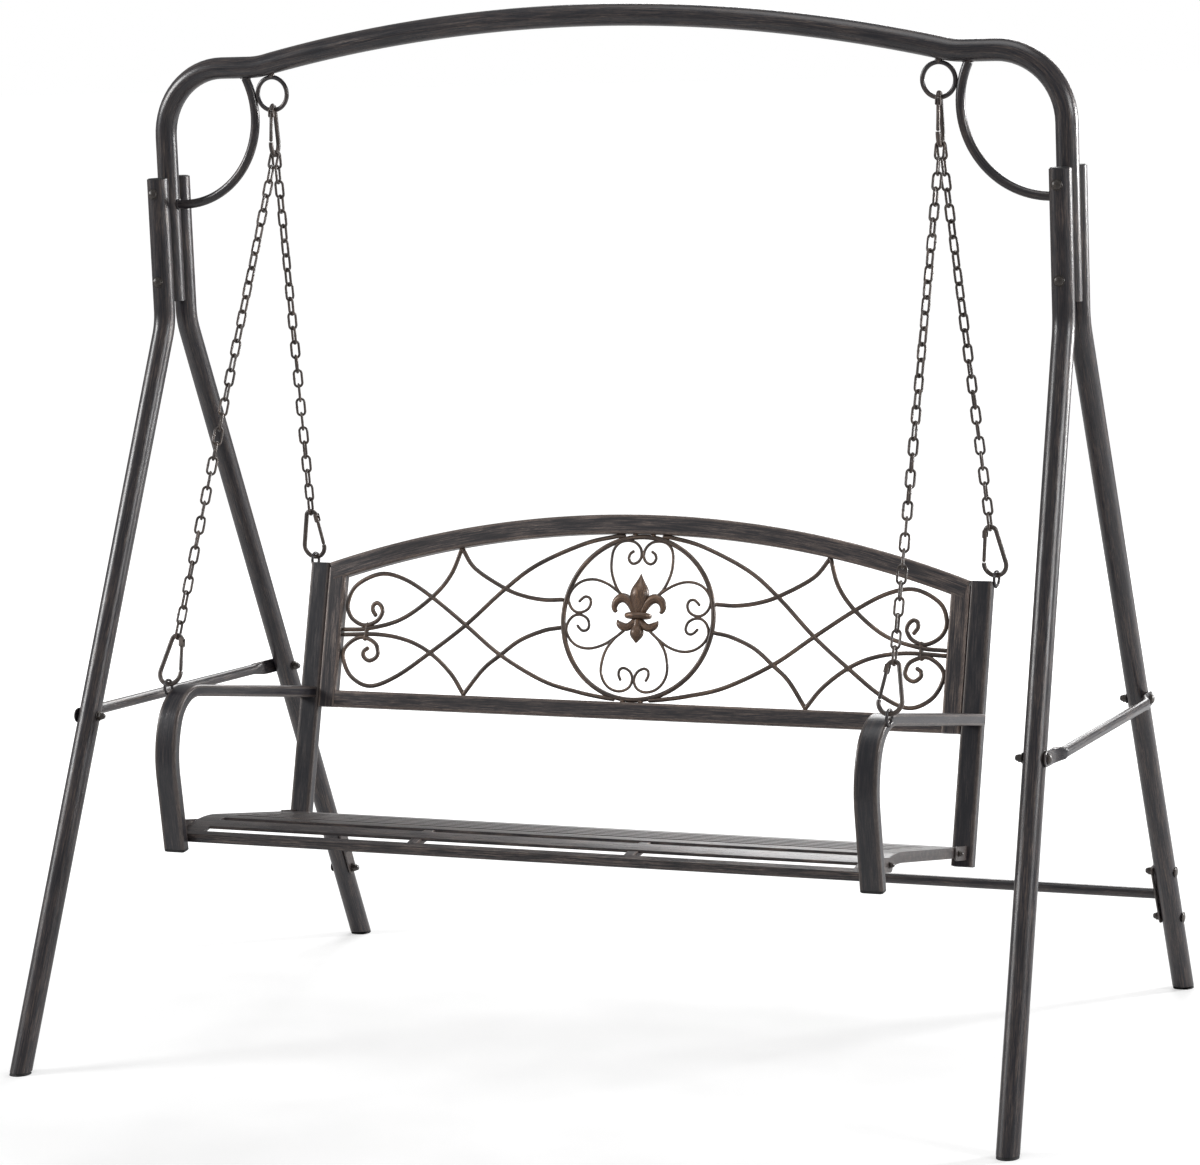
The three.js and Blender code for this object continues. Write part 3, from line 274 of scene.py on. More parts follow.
CROSSING_SHARES = (
    (0.702, 0.245), (0.69, 0.68), (0.455, 0.675), (0.575, 0.452), (0.455, 0.16), (0.917, 0.485),
    (0.92, 0.58),
)
# Half hearts of the medallion, as shares of its radius: outwards along the heart's axis, then sideways
TOP_HEART_SHARES = (
    (0.25, 0.2), (0.333, 0.29), (0.444, 0.355), (0.565, 0.397), (0.69, 0.41), (0.829, 0.394), (0.92, 0.323),
    (0.95, 0.216), (0.93, 0.109), (0.86, 0.035), (0.77, 0.015), (0.7, 0.045), (0.668, 0.11), (0.69, 0.16),
    (0.74, 0.182), (0.79, 0.165), (0.82, 0.125),
)
SIDE_HEART_SHARES = (
    (0.1, 0.12), (0.2, 0.215), (0.3, 0.29), (0.42, 0.367), (0.552, 0.415), (0.67, 0.425), (0.787, 0.397),
    (0.88, 0.331), (0.94, 0.238), (0.945, 0.152), (0.903, 0.066), (0.831, 0.018), (0.742, 0.022),
    (0.67, 0.068), (0.645, 0.143), (0.669, 0.197), (0.725, 0.21), (0.77, 0.182), (0.8, 0.15),
)
BOTTOM_HEART_SHARES = (
    (0.1, 0.1), (0.18, 0.205), (0.277, 0.31), (0.426, 0.405), (0.624, 0.442), (0.77, 0.402), (0.87, 0.3),
    (0.9, 0.163), (0.85, 0.05), (0.746, 0.012), (0.655, 0.051), (0.614, 0.134), (0.64, 0.19), (0.7, 0.197),
    (0.76, 0.17),
)
SIDE_HEART_LIFT_SHARE = 0.036
# The ornament's limbs, as shares of the medallion's radius: across, up and half width of each station
CENTRE_PETAL_SHARES = (
    (0, 0.05, 0.05), (0, 0.12, 0.075), (0, 0.2, 0.105), (0, 0.29, 0.125), (0, 0.37, 0.105), (0, 0.45, 0.055),
    (0, 0.51, 0.022), (0, 0.545, 0.006),
)
UPPER_LEAF_SHARES = (
    (0.02, 0.03, 0.035), (0.065, 0.1, 0.045), (0.11, 0.18, 0.055), (0.17, 0.235, 0.06), (0.24, 0.245, 0.06),
    (0.3, 0.205, 0.052), (0.325, 0.14, 0.042), (0.31, 0.085, 0.028), (0.285, 0.085, 0.012),
)
LOWER_LEAF_SHARES = (
    (0.015, 0, 0.035), (0.07, -0.065, 0.044), (0.13, -0.11, 0.05), (0.195, -0.105, 0.052),
    (0.245, -0.07, 0.04), (0.268, -0.035, 0.015),
)
STEM_SHARES = (
    (0, -0.02, 0.055), (0, -0.09, 0.06), (0, -0.165, 0.09), (0, -0.22, 0.08), (0, -0.27, 0.038),
    (0, -0.3, 0.009),
)
ORNAMENT_DEPTH_SHARE = 0.62
BAND_SHARES = (0.03, 0.14, 0.038)
BAND_DEPTH_SHARE = 0.55
BAND_STEPS = 28
LIMB_SIDES = 18
LEAST_HALF_SHARE = 0.004
RIDGE_SHARE = 0.3


# Forms: vertices with a grain place (across, over and along the bar) and a wear value


class Form:
    def __init__(self):
        self.verts = []
        self.faces = []
        self.grain = []
        self.wear = []

    def point(self, place, grain, wear):
        self.verts.append(Vector(place))
        self.grain.append(grain)
        self.wear.append(wear)

    def skin(self, rings, count, closed=False, turned=False):
        """Faces between rings of count points, with a flat face at each end unless they close."""
        faces = []
        for k in range(rings if closed else rings - 1):
            following = (k + 1) % rings
            for j in range(count):
                i = (j + 1) % count
                faces.append((k * count + j, k * count + i, following * count + i, following * count + j))
        if not closed:
            faces.append(tuple(range(count))[::-1])
            faces.append(tuple((rings - 1) * count + j for j in range(count)))
        self.faces = [face[::-1] for face in faces] if turned else faces
        return self

    def add(self, other):
        start = len(self.verts)
        self.verts += other.verts
        self.faces += [tuple(i + start for i in face) for face in other.faces]
        self.grain += other.grain
        self.wear += other.wear
        return self

    def moved(self, matrix):
        self.verts = [matrix @ v for v in self.verts]
        if matrix.determinant() < 0:
            self.faces = [face[::-1] for face in self.faces]
        return self


def circle(radius, count, wear=0.25):
    turn = 2 * pi / count
    return [(radius * cos(i * turn), radius * sin(i * turn), wear) for i in range(count)]


def rounded_box(width, depth, radius, steps=4):
    """A bar's section with rounded corners, which are its worn places."""
    signs = ((1, 1), (-1, 1), (-1, -1), (1, -1))
    corners = [(sx * (width / 2 - radius), sy * (depth / 2 - radius)) for sx, sy in signs]
    points = []
    for quarter, (cx, cy) in enumerate(corners):
        for k in range(steps + 1):
            angle = pi / 2 * (quarter + k / steps)
            points.append((cx + radius * cos(angle), cy + radius * sin(angle), 1))
        x0, y0 = points[-1][:2]
        nx, ny = corners[(quarter + 1) % 4]
        end = pi / 2 * (quarter + 1)
        x1, y1 = nx + radius * cos(end), ny + radius * sin(end)
        for share in UNWORN_SHARES:
            points.append((x0 + (x1 - x0) * share, y0 + (y1 - y0) * share, 0))
    return points


def sweep(points, section, side, closed=False, ends="flat", scales=None):
    """Carries a section along a flat path. side stands on the path's plane; scales are the rings' sizes."""
    points = [Vector(p) for p in points]
    side = Vector(side).normalized()
    form = Form()
    last = len(points) - 1
    run = 0
    rings = []
    shift = random.uniform(0, GRAIN_SHIFT)
    for k, here in enumerate(points):
        before = points[k - 1] if k or closed else here
        after = points[(k + 1) % (last + 1)] if k < last or closed else here
        tangent = ((here - before).normalized() + (after - here).normalized()).normalized()
        if k:
            run += (here - before).length
        rings.append((here, tangent, scales[k] if scales else 1, run))
    if ends == "dome":
        high = max(abs(b) for _, b, _ in section)
        for (at, tangent, size, along), sense in ((rings[0], -1), (rings[-1], 1)):
            for k in range(1, DOME_RINGS + 1):
                angle = pi / 2 * k / (DOME_RINGS + DOME_FLAT)
                out = sense * high * DOME_HEIGHT * sin(angle)
                ring = (at + tangent * out * size, tangent, size * cos(angle), along + out)
                rings.insert(0 if sense < 0 else len(rings), ring)
    for here, tangent, size, along in rings:
        flat = side - tangent * side.dot(tangent)
        flat.normalize()
        over = tangent.cross(flat)
        for a, b, wear in section:
            a, b = a * size, b * size
            form.point(here + flat * a + over * b, (a + shift, b, along + shift), wear)
    return form.skin(len(rings), len(section), closed)


def lathe(profile, count, wear=0.35):
    """Turns a profile of (radius, height) about Z."""
    form = Form()
    for radius, height in profile:
        for x, y, _ in circle(radius, count):
            form.point((x, y, height), (x, y, height), wear)
    return form.skin(len(profile), count)


def rounded(corners, chords):
    """Corners with a radius become arcs."""
    points = []
    for i, (at, radius) in enumerate(corners):
        at = Vector(at)
        if not radius:
            points.append(at)
            continue
        back = (Vector(corners[i - 1][0]) - at).normalized()
        ahead = (Vector(corners[i + 1][0]) - at).normalized()
        half = back.angle(ahead) / 2
        centre = at + (back + ahead).normalized() * (radius / sin(half))
        start = at + back * (radius / tan(half)) - centre
        end = at + ahead * (radius / tan(half)) - centre
        axis = start.cross(end).normalized()
        turn = start.angle(end)
        points += [centre + Matrix.Rotation(turn * k / chords, 3, axis) @ start for k in range(chords + 1)]
    return points


def smooth(places, per_gap):
    """A smooth curve through places, as a list of points."""
    places = [Vector(p) for p in places]
    ends = [places[0] * 2 - places[1], *places, places[-1] * 2 - places[-2]]
    points = []
    for a, b, c, d in zip(ends, ends[1:], ends[2:], ends[3:]):
        for k in range(per_gap):
            t = k / per_gap
            square = (2 * a - 5 * b + 4 * c - d) * t * t
            cube = (3 * b - a - 3 * c + d) * t**3
            points.append(0.5 * (2 * b + (c - a) * t + square + cube))
    points.append(places[-1])
    return points


def framed(x_axis, y_axis, z_axis, at):
    matrix = Matrix((x_axis, y_axis, z_axis)).transposed().to_4x4()
    matrix.translation = Vector(at)
    return matrix


def along_matrix(at, z_axis, x_hint):
    """A frame with its Z along z_axis and its X nearest to x_hint."""
    z_axis = Vector(z_axis).normalized()
    x_axis = Vector(x_hint) - z_axis * Vector(x_hint).dot(z_axis)
    x_axis.normalize()
    return framed(x_axis, z_axis.cross(x_axis), z_axis, at)


def arc(radius, x, z, start, turn, steps):
    """Places along an arc in the XZ plane."""
    angles = [start + turn * k / steps for k in range(steps + 1)]
    return [(x + radius * cos(angle), 0, z + radius * sin(angle)) for angle in angles]


def circle_places(centre, normal, radius, steps):
    across = Vector(normal).orthogonal().normalized()
    over = Vector(normal).normalized().cross(across)
    angles = [2 * pi * k / steps for k in range(steps)]
    return [Vector(centre) + (across * cos(t) + over * sin(t)) * radius for t in angles]


def round_ring(centre, normal, radius, wire, steps, wear=0.25, sides=14):
    places = circle_places(centre, normal, radius, steps)
    return sweep(places, circle(wire / 2, sides, wear), normal, closed=True)


def weld_bead(centre, axis, radius, wire):
    """A wavy ring of weld round a joint."""
    scales = []
    for k in range(BEAD_STEPS):
        wave = sin(2 * pi * k / BEAD_STEPS * BEAD_WAVES)
        scales.append(1 + BEAD_WAVE_HEIGHT * wave + random.uniform(-BEAD_UNEVEN, BEAD_UNEVEN))
    places = circle_places(centre, axis, radius, BEAD_STEPS)
    return sweep(places, circle(wire, 7, 0.5), axis, closed=True, scales=scales)


def blob(centre, radius, squash=0.6):
    """A small weld spot where two rods cross."""
    size = Matrix.Diagonal((radius, radius * squash, radius, 1))
    return lathe(BALL_PROFILE, 10, 0.6).moved(Matrix.Translation(centre) @ size)


# Materials


def new_material(name):
    material = bpy.data.materials.new(name)
    material.use_nodes = True
    tree = material.node_tree
    tree.nodes.clear()
    shader = node(tree, "ShaderNodeBsdfPrincipled")
    node(tree, "ShaderNodeOutputMaterial", {"Surface": shader.outputs["BSDF"]})
    return material, tree, shader


def feed(tree, made, inputs):
    """Gives a node's inputs their values or the sockets that they follow."""
    for key, value in inputs.items():
        if isinstance(value, bpy.types.NodeSocket):
            tree.links.new(value, made.inputs[key])
        else:
            made.inputs[key].default_value = value
    return made


def node(tree, kind, inputs=None, **settings):
    made = tree.nodes.new(kind)
    for key, value in settings.items():
        setattr(made, key, value)
    return feed(tree, made, inputs or {})


def ramp(tree, factor, stops):
    made = node(tree, "ShaderNodeValToRGB", {"Fac": factor})
    for element, (position, color) in zip(made.color_ramp.elements, stops):
        element.position = position
        element.color = (*color, 1)
    return made.outputs["Color"]


def grey(value):
    return (value, value, value)


def maths(tree, operation, first, second, clamp=False):
    inputs = {0: first, 1: second}
    return node(tree, "ShaderNodeMath", inputs, operation=operation, use_clamp=clamp).outputs[0]


def times(tree, first, second):
    return maths(tree, "MULTIPLY", first, second)


def mixed(tree, factor, first, second):
    start = first if isinstance(first, bpy.types.NodeSocket) else (*first, 1)
    inputs = {0: factor, 6: start, 7: (*second, 1)}
    return node(tree, "ShaderNodeMix", inputs, data_type="RGBA").outputs[2]


def attribute(tree, name):
    return node(tree, "ShaderNodeAttribute", attribute_name=name, attribute_type="GEOMETRY")


def stretched(tree, vector, scale):
    return node(tree, "ShaderNodeMapping", {"Vector": vector, "Scale": scale}).outputs[0]


def clouds(tree, vector, scale, detail, roughness):
    inputs = {"Vector": vector, "Scale": scale, "Detail": detail, "Roughness": roughness}
    return node(tree, "ShaderNodeTexNoise", inputs).outputs["Fac"]


def relief(tree, height, strength, distance):
    inputs = {"Height": height, "Strength": strength, "Distance": distance}
    return node(tree, "ShaderNodeBump", inputs).outputs["Normal"]


def brushed_paint(name, dark, body, rubbed, streak, wear_reach, roughness):
    """Dark paint brushed over with a metallic glaze: streaks along each bar, and more of it on edges."""
    material, tree, shader = new_material(name)
    grain = attribute(tree, "grain").outputs["Vector"]
    wear = attribute(tree, "wear").outputs["Fac"]
    streaks = clouds(tree, stretched(tree, grain, STREAK_SCALE), 1.0, 5.0, 0.62)
    hairs = clouds(tree, stretched(tree, grain, HAIR_SCALE), 1.0, 3.0, 0.55)
    patches = clouds(tree, stretched(tree, grain, PATCH_SCALE), 1.0, 3.0, 0.5)
    peel = clouds(tree, grain, 0.9, 2.0, 0.5)
    streak_mask = ramp(tree, streaks, [(0.45, grey(0)), (0.62, grey(1))])
    hair_mask = ramp(tree, hairs, [(0.4, grey(0.15)), (0.68, grey(1))])
    patch_mask = ramp(tree, patches, [(0.36, grey(0.25)), (0.62, grey(1))])
    glaze = times(tree, times(tree, streak_mask, hair_mask), patch_mask)
    edge = times(tree, maths(tree, "POWER", wear, EDGE_POWER), hair_mask)
    amount = maths(tree, "ADD", times(tree, glaze, streak), times(tree, edge, wear_reach), clamp=True)
    ground = mixed(tree, patches, dark, body)
    rough = maths(tree, "ADD", times(tree, streaks, ROUGHNESS_SPREAD), roughness - ROUGHNESS_SPREAD / 2)
    height = maths(tree, "ADD", times(tree, peel, PEEL_SHARE), glaze)
    feed(tree, shader, {
        "Base Color": mixed(tree, amount, ground, rubbed),
        "Roughness": rough,
        "Normal": relief(tree, height, 0.16, 0.0006),
        "Metallic": times(tree, amount, RUBBED_METALLIC),
        "Specular IOR Level": PAINT_SPECULAR,
    })
    return material


def plastic(name):
    """Black moulded plastic with a fine matt grain."""
    material, tree, shader = new_material(name)
    speck = clouds(tree, attribute(tree, "grain").outputs["Vector"], 1.6, 3.0, 0.6)
    color = ramp(tree, speck, [(0.3, (0.007, 0.007, 0.008)), (0.75, (0.022, 0.021, 0.023))])
    rough = maths(tree, "ADD", times(tree, speck, 0.25), 0.45)
    feed(tree, shader, {"Base Color": color, "Roughness": rough, "Normal": relief(tree, speck, 0.12, 0.0005)})
    return material


PAINT = brushed_paint(
    "bronze_tube_paint",
    (0.0068, 0.0076, 0.0122), (0.0168, 0.0174, 0.0262), (0.36, 0.27, 0.215), 0.6, 0.32, 0.3,
)
BAR_PAINT = brushed_paint(
    "bronze_bar_paint",
    (0.0125, 0.0122, 0.016), (0.038, 0.0345, 0.041), (0.48, 0.37, 0.31), 0.8, 0.5, 0.34,
)
ARM_PAINT = brushed_paint(
    "bronze_arm_paint",
    (0.0058, 0.0066, 0.0108), (0.0158, 0.0162, 0.0244), (0.36, 0.285, 0.24), 0.36, 0.4, 0.32,
)
# The seat's paint is a lighter copy of the same bronze paint: painted sheen, the light that falls on the
# seat's top painted into its colour
SEAT_PAINTED_SHEEN = brushed_paint(
    "bronze_seat_painted_sheen",
    (0.011, 0.0102, 0.0128), (0.034, 0.0305, 0.035), (0.455, 0.35, 0.2888), 0.8, 0.5, 0.3,
)
ROD_PAINT = brushed_paint(
    "bronze_rod_paint",
    (0.0158, 0.0131, 0.0131), (0.049, 0.0376, 0.0341), (0.56, 0.3675, 0.2537), 1.0, 0.4, 0.34,
)
HANGER = brushed_paint(
    "hanger_paint",
    (0.0175, 0.0149, 0.0149), (0.049, 0.0403, 0.0385), (0.35, 0.2537, 0.2013), 0.8, 0.4, 0.36,
)
COPPER = brushed_paint(
    "rubbed_casting",
    (0.0123, 0.0096, 0.0088), (0.0455, 0.0315, 0.0245), (0.4725, 0.28, 0.175), 0.8, 0.6, 0.36,
)
FASTENER = brushed_paint(
    "fastener_paint",
    (0.0088, 0.0088, 0.0096), (0.0245, 0.0219, 0.0219), (0.21, 0.154, 0.1155), 0.6, 0.4, 0.36,
)
PLASTIC = plastic("plug_plastic")
SLOT = {paint: "dark_bronze_paint" for paint in (PAINT, BAR_PAINT, ARM_PAINT, SEAT_PAINTED_SHEEN, ROD_PAINT)}
SLOT |= {HANGER: "hanger_bronze", COPPER: "rubbed_copper"}
SLOT |= {FASTENER: "black_fasteners", PLASTIC: "black_plastic"}


def linked(name, data):
    made = bpy.data.objects.new(name, data)
    bpy.context.scene.collection.objects.link(made)
    return made


def piece(name, form, body, material, replaced=(), place=None, crease=32):
    """Makes the object of a form, lets it ride on its body and stand for solids of the frame."""
    if place is not None:
        form.moved(place)
    mesh = bpy.data.meshes.new(name)
    mesh.from_pydata([v * MM for v in form.verts], [], form.faces)
    for face in mesh.polygons:
        face.use_smooth = True
    mesh.set_sharp_from_angle(angle=radians(crease))
    grain = mesh.attributes.new("grain", "FLOAT_VECTOR", "POINT")
    grain.data.foreach_set("vector", [c for g in form.grain for c in g])
    wear = mesh.attributes.new("wear", "FLOAT", "POINT")
    wear.data.foreach_set("value", form.wear)
    mesh.materials.append(material)
    made = linked(name, mesh)
    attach(made, body)
    if replaced:
        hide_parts(*replaced)
    return made


# Stand


def beam_points():
    steps = 48
    xs = [ARCH_HALF * (2 * i / steps - 1) for i in range(steps + 1)]
    arch = [((x, 0, ARCH_CENTRE + drop_of(x, ARCH_RADIUS)), 0) for x in xs]
    shoulder = (
        (SHOULDER_X, SHOULDER_Z, SHOULDER_BEND),
        (DOWN_X, SHOULDER_Z, CORNER_BEND),
        (DOWN_X, DOWN_BOTTOM, 0),
    )
    left = [((-x, 0, z), bend) for x, z, bend in shoulder[::-1]]
    return rounded([*left, *arch, *(((x, 0, z), bend) for x, z, bend in shoulder)], 16)


def leg_bend(sign, end):
    return Vector((sign * DOWN_X, END_SIGN[end] * LEG_Y, LEG_BEND_Z))


def leg_foot(sign, end):
    return Vector((sign * FOOT_X[end], END_SIGN[end] * FOOT_Y, 0))


def leg_at(sign, end, height):
    return leg_bend(sign, end).lerp(leg_foot(sign, end), (LEG_BEND_Z - height) / LEG_BEND_Z)


def level_cut(form, count, height):
    """Brings the last ring of a sloping tube down to a level cut."""
    along = form.verts[-1] - form.verts[-1 - count]
    form.verts[-count:] = [v + along * ((height - v.z) / along.z) for v in form.verts[-count:]]
    return form


def leg(side, sign, end):
    count = 32
    top = Vector((sign * DOWN_X, END_SIGN[end] * LEG_Y, LEG_TOP))
    bend = leg_bend(sign, end)
    foot = leg_foot(sign, end)
    plane = (bend - top).cross(foot - bend)
    points = rounded([(top, 0), (bend, LEG_BEND), (foot, 0)], 10)
    form = level_cut(sweep(points, circle(RADIUS, count), plane), count, FOOT_PLUG)
    piece(f"tube_leg_{end}_{side}", form, "stand", PAINT, [f"leg_{end}_{side}"])
    cap = lathe(LEG_CAP_PROFILE, 28)
    piece(f"leg_cap_{end}_{side}", cap, "stand", PLASTIC, place=Matrix.Translation(top))
    slope = bend - foot
    start = foot + slope * ((FOOT_PLUG + 1) / slope.z)
    sole = sweep([start, foot], circle(RADIUS - 0.6, count), plane)
    level_cut(sole, count, 0)
    piece(f"foot_cap_{end}_{side}", sole, "stand", PLASTIC, [f"foot_plug_{end}_{side}"])


def corner_arc(side, sign):
    start_x = ARC_X - drop_of(SHOULDER_Z - RADIUS - ARC_Z, ARC_RADIUS)
    start = atan2(SHOULDER_Z - RADIUS - ARC_Z, start_x - ARC_X)
    end_x = DOWN_X - RADIUS
    end_z = ARC_Z - drop_of(end_x - ARC_X, ARC_RADIUS)
    end = atan2(end_z - ARC_Z, end_x - ARC_X) + 2 * pi
    points = [(sign * x, y, z) for x, y, z in arc(ARC_RADIUS, ARC_X, ARC_Z, start, end - start, 40)]
    form = sweep(points, circle(ARC_TUBE / 2, 20), Y_AXIS)
    form.add(weld_bead(Vector(points[0]) + Z_AXIS * 0.6, Z_AXIS, ARC_TUBE / 2 + 0.3, 1.5))
    form.add(weld_bead(points[-1], X_AXIS, ARC_TUBE / 2 + 0.3, 1.5))
    piece(f"bent_corner_arc_{side}", form, "stand", PAINT, [f"corner_arc_{side}"])


def hanging_ring(side, sign):
    centre = Vector((sign * RING_X, 0, RING_Z))
    form = round_ring(centre, Y_AXIS, RING_RADIUS, RING_WIRE, 56)
    form.add(blob(centre + Z_AXIS * (RING_OUTER - 0.6), 6.5, 0.9))
    piece(f"welded_ring_{side}", form, "stand", PAINT, [f"hanging_ring_{side}"])


def brace_frame(sign):
    front = leg_at(sign, "front", BRACE_Z["front"])
    rear = leg_at(sign, "rear", BRACE_Z["rear"])
    along = (rear - front).normalized()
    outwards = X_AXIS - along * along.x
    outwards.normalize()
    return framed(outwards, along, outwards.cross(along), front), (rear - front).length


def side_brace(side, sign):
    matrix, span = brace_frame(sign)
    tab_x = RADIUS + GAP + TAB / 2
    tube_x = RADIUS + GAP + BRACE_TUBE / 2
    flat_end = TAB_LENGTH - TAB_OVERHANG
    half = TAB / 2
    # place along the brace, then how far out it is, half thickness and half height
    tip = ((0, 3), (1.5, 7.5), (5, 11), (9, 12.6), (14, TAB_HALF_HEIGHT))
    stations = [(y - TAB_OVERHANG, tab_x, half if y else half - 0.3, high) for y, high in tip]
    stations += [
        (flat_end - 10, tab_x, half, TAB_HALF_HEIGHT),
        (flat_end, tab_x + 1.2, half + 1.4, 12.6),
        (flat_end + 9, (tab_x + tube_x) / 2, 5.5, 11.4),
        (flat_end + 18, tube_x - 0.8, 8.3, 10.2),
        (flat_end + 28, tube_x, BRACE_TUBE / 2, BRACE_TUBE / 2),
    ]
    stations += [(span - y, x, thick, high) for y, x, thick, high in stations[::-1]]
    count = 28
    form = Form()
    for y, x, thick, high in stations:
        tubular = thick > BRACE_TUBE / 2 - 1
        power = 1 if tubular else FLATTENED_POWER
        for j in range(count):
            angle = 2 * pi * j / count
            a = copysign(abs(cos(angle)) ** power, cos(angle)) * thick
            b = copysign(abs(sin(angle)) ** power, sin(angle)) * high
            wear = 0.3 if tubular else 0.7 * abs(sin(angle)) ** 6
            form.point((sign * (x + a), y, b), (a, b, y + GRAIN_SHIFT / 3 * sign), wear)
    form.skin(len(stations), count, turned=sign > 0)
    piece(f"flattened_brace_{side}", form, "stand", PAINT, [f"side_brace_{side}"], matrix)


def plate(width, length, thick, rounding):
    """A flat plate in the YZ plane with rounded corners and soft edges."""
    outline = rounded_box(width, length, rounding, 6)
    soft = 0.5
    rings = ((-thick / 2, soft), (-thick / 2 + soft, 0), (thick / 2 - soft, 0), (thick / 2, soft))
    form = Form()
    for x, inset in rings:
        for a, b, _ in outline:
            place = (x, a * (1 - 2 * inset / width), b * (1 - 2 * inset / length))
            form.point(place, (x, a, b + length * 3), 0.8 if inset else 0.9)
    return form.skin(len(rings), len(outline))


def rear_crossbar():
    middle = leg_at(1, "rear", CROSSBAR_Z)
    reach = middle.x - RADIUS - 2 * GAP - TAB / 2
    ends = [(-reach, middle.y, middle.z), (reach, middle.y, middle.z)]
    form = sweep(ends, circle(BRACE_TUBE / 2, 24), Y_AXIS)
    rise = leg_bend(1, "rear") - leg_foot(1, "rear")
    lean = Matrix.Rotation(atan2(-rise.y, rise.z), 4, "X")
    for _, sign in SIDES:
        at = Vector((sign * reach, middle.y, middle.z))
        form.add(plate(PLATE_WIDTH, PLATE_LENGTH, TAB, 8).moved(Matrix.Translation(at) @ lean))
        form.add(weld_bead(at - X_AXIS * sign * (TAB / 2), X_AXIS, BRACE_TUBE / 2 + 0.4, 1.6))
    piece("crossbar_with_plates", form, "stand", PAINT, ["rear_crossbar"])


def bolt(grip, size=1, head=1):
    """Head with washer at -Z, domed nut with washer at +Z. head is the head's height against the usual."""
    low = -grip / 2 - GAP
    high = grip / 2 + GAP

    def scaled(profile, face, height_scale=size):
        return [(radius * size, face + height * height_scale) for radius, height in profile]

    shank = [(HEAD_TIP[0], low - HEAD_TIP[1] * size * head), *scaled(HEAD_PROFILE, low, -size * head)]
    form = lathe(shank + scaled(WASHER_PROFILE, high), 24, 0.5)
    nut = lathe(scaled(NUT_PROFILE, high), 6, 0.7)
    dome = lathe([*scaled(DOME_PROFILE, high), (DOME_TIP[0], high + DOME_TIP[1] * size)], 20, 0.5)
    return form.add(nut).add(dome)


def fastener(group, rest, body, form, place):
    piece(f"fastener_{group}_{rest}", form, body, FASTENER, [f"{group}_bolt_{rest}"], place, 28)


def stand_bolts(side, sign):
    for word, height in zip(("upper", "lower"), BEAM_BOLTS):
        place = along_matrix((sign * DOWN_X, 0, height), Y_AXIS, X_AXIS)
        fastener("beam", f"{word}_{side}", "stand", bolt(2 * (LEG_Y + RADIUS)), place)
    matrix, span = brace_frame(sign)
    for end in END_SIGN:
        at = Vector((sign * (TAB + GAP) / 2, span if end == "rear" else 0, 0))
        place = matrix @ along_matrix(at, X_AXIS * -sign, Y_AXIS)
        fastener("brace", f"{end}_{side}", "stand", bolt(TUBE + TAB + 2 * GAP), place)
    middle = leg_at(sign, "rear", CROSSBAR_Z)
    for word, height in (("upper", CROSSBAR_Z + CROSSBAR_BOLT), ("lower", CROSSBAR_Z - CROSSBAR_BOLT)):
        at = Vector((middle.x - sign * TAB / 2, leg_at(sign, "rear", height).y, height))
        place = along_matrix(at, X_AXIS * -sign, Y_AXIS)
        form = bolt(TUBE + TAB + 4 * GAP, head=LOW_HEAD)
        fastener("crossbar", f"{word}_{side}", "stand", form, place)


# Bench


def arm_points(sign):
    x = sign * (ARM_X - FACE / 2)
    y, z = ARM_FOOT
    points = [(x, y, z)]
    y -= ARM_STRAIGHT * sin(ARM_LEAN)
    z += ARM_STRAIGHT * cos(ARM_LEAN)
    points.append((x, y, z))
    for radius, start, end, steps in (
        (ARM_SWEEP, ARM_LEAN, -ARM_BACK, 12),
        (ARM_BEND, -ARM_BACK, -pi / 2, 20),
    ):
        centre_y = y + radius * cos(start)
        centre_z = z + radius * sin(start)
        for k in range(1, steps + 1):
            angle = start + (end - start) * k / steps
            y = centre_y - radius * cos(angle)
            z = centre_z - radius * sin(angle)
            points.append((x, y, z))
    front = POST_FOOT[0] + (z - POST_FOOT[1]) * tan(POST_LEAN)
    points.append((x, front - GAP - DEPTH / 2 * tan(POST_LEAN), z))
    return points


def seat_drop(y):
    return SEAT_CURVE - drop_of(min(y - SEAT_KNEE, 0), SEAT_CURVE)


def lug(sign, start, end, bolt_y):
    """A small steel bar that carries the seat's flange, its free end rounded."""
    z = SEAT_TOP - seat_drop(bolt_y) - SEAT_BOLT_DROP
    x = sign * (SEAT_HALF + GAP + TAB / 2)
    form = plate(abs(end - start), LUG_HEIGHT, TAB, 7)
    return form.moved(Matrix.Translation((x, (start + end) / 2, z)))


def eye(outer_x, y, z, sign):
    x = sign * (outer_x + EYE_WIRE / 2 - WELD_BITE)
    form = round_ring((x, y, z), X_AXIS, (EYE_OUTER - EYE_WIRE) / 2, EYE_WIRE, 32, 0.4)
    form.add(blob((sign * (outer_x + 1), y, z - EYE_OUTER / 2 + 2), 3.6))
    return form


def rear_eye_centre():
    local = Matrix.Rotation(-POST_LEAN, 3, "X") @ Vector((0, REAR_EYE_DEPTH, POST_LENGTH + REAR_EYE_RISE))
    return local + Vector((0, *POST_FOOT))


def arm(side, sign):
    form = sweep(arm_points(sign), rounded_box(FACE, DEPTH, TUBE_CORNER), X_AXIS)
    form.add(lug(sign, ARM_FOOT[0] - DEPTH / 2, SEAT_BOLTS["front"] + LUG_END, SEAT_BOLTS["front"]))
    form.add(eye(ARM_X, *FRONT_EYE, sign))
    piece(f"bent_arm_{side}", form, "bench", ARM_PAINT, [f"arm_{side}"], BENCH)
    end_cap(f"arm_cap_{side}", (sign * (ARM_X - FACE / 2), *ARM_FOOT), ARM_LEAN, FACE, [f"arm_plug_{side}"])


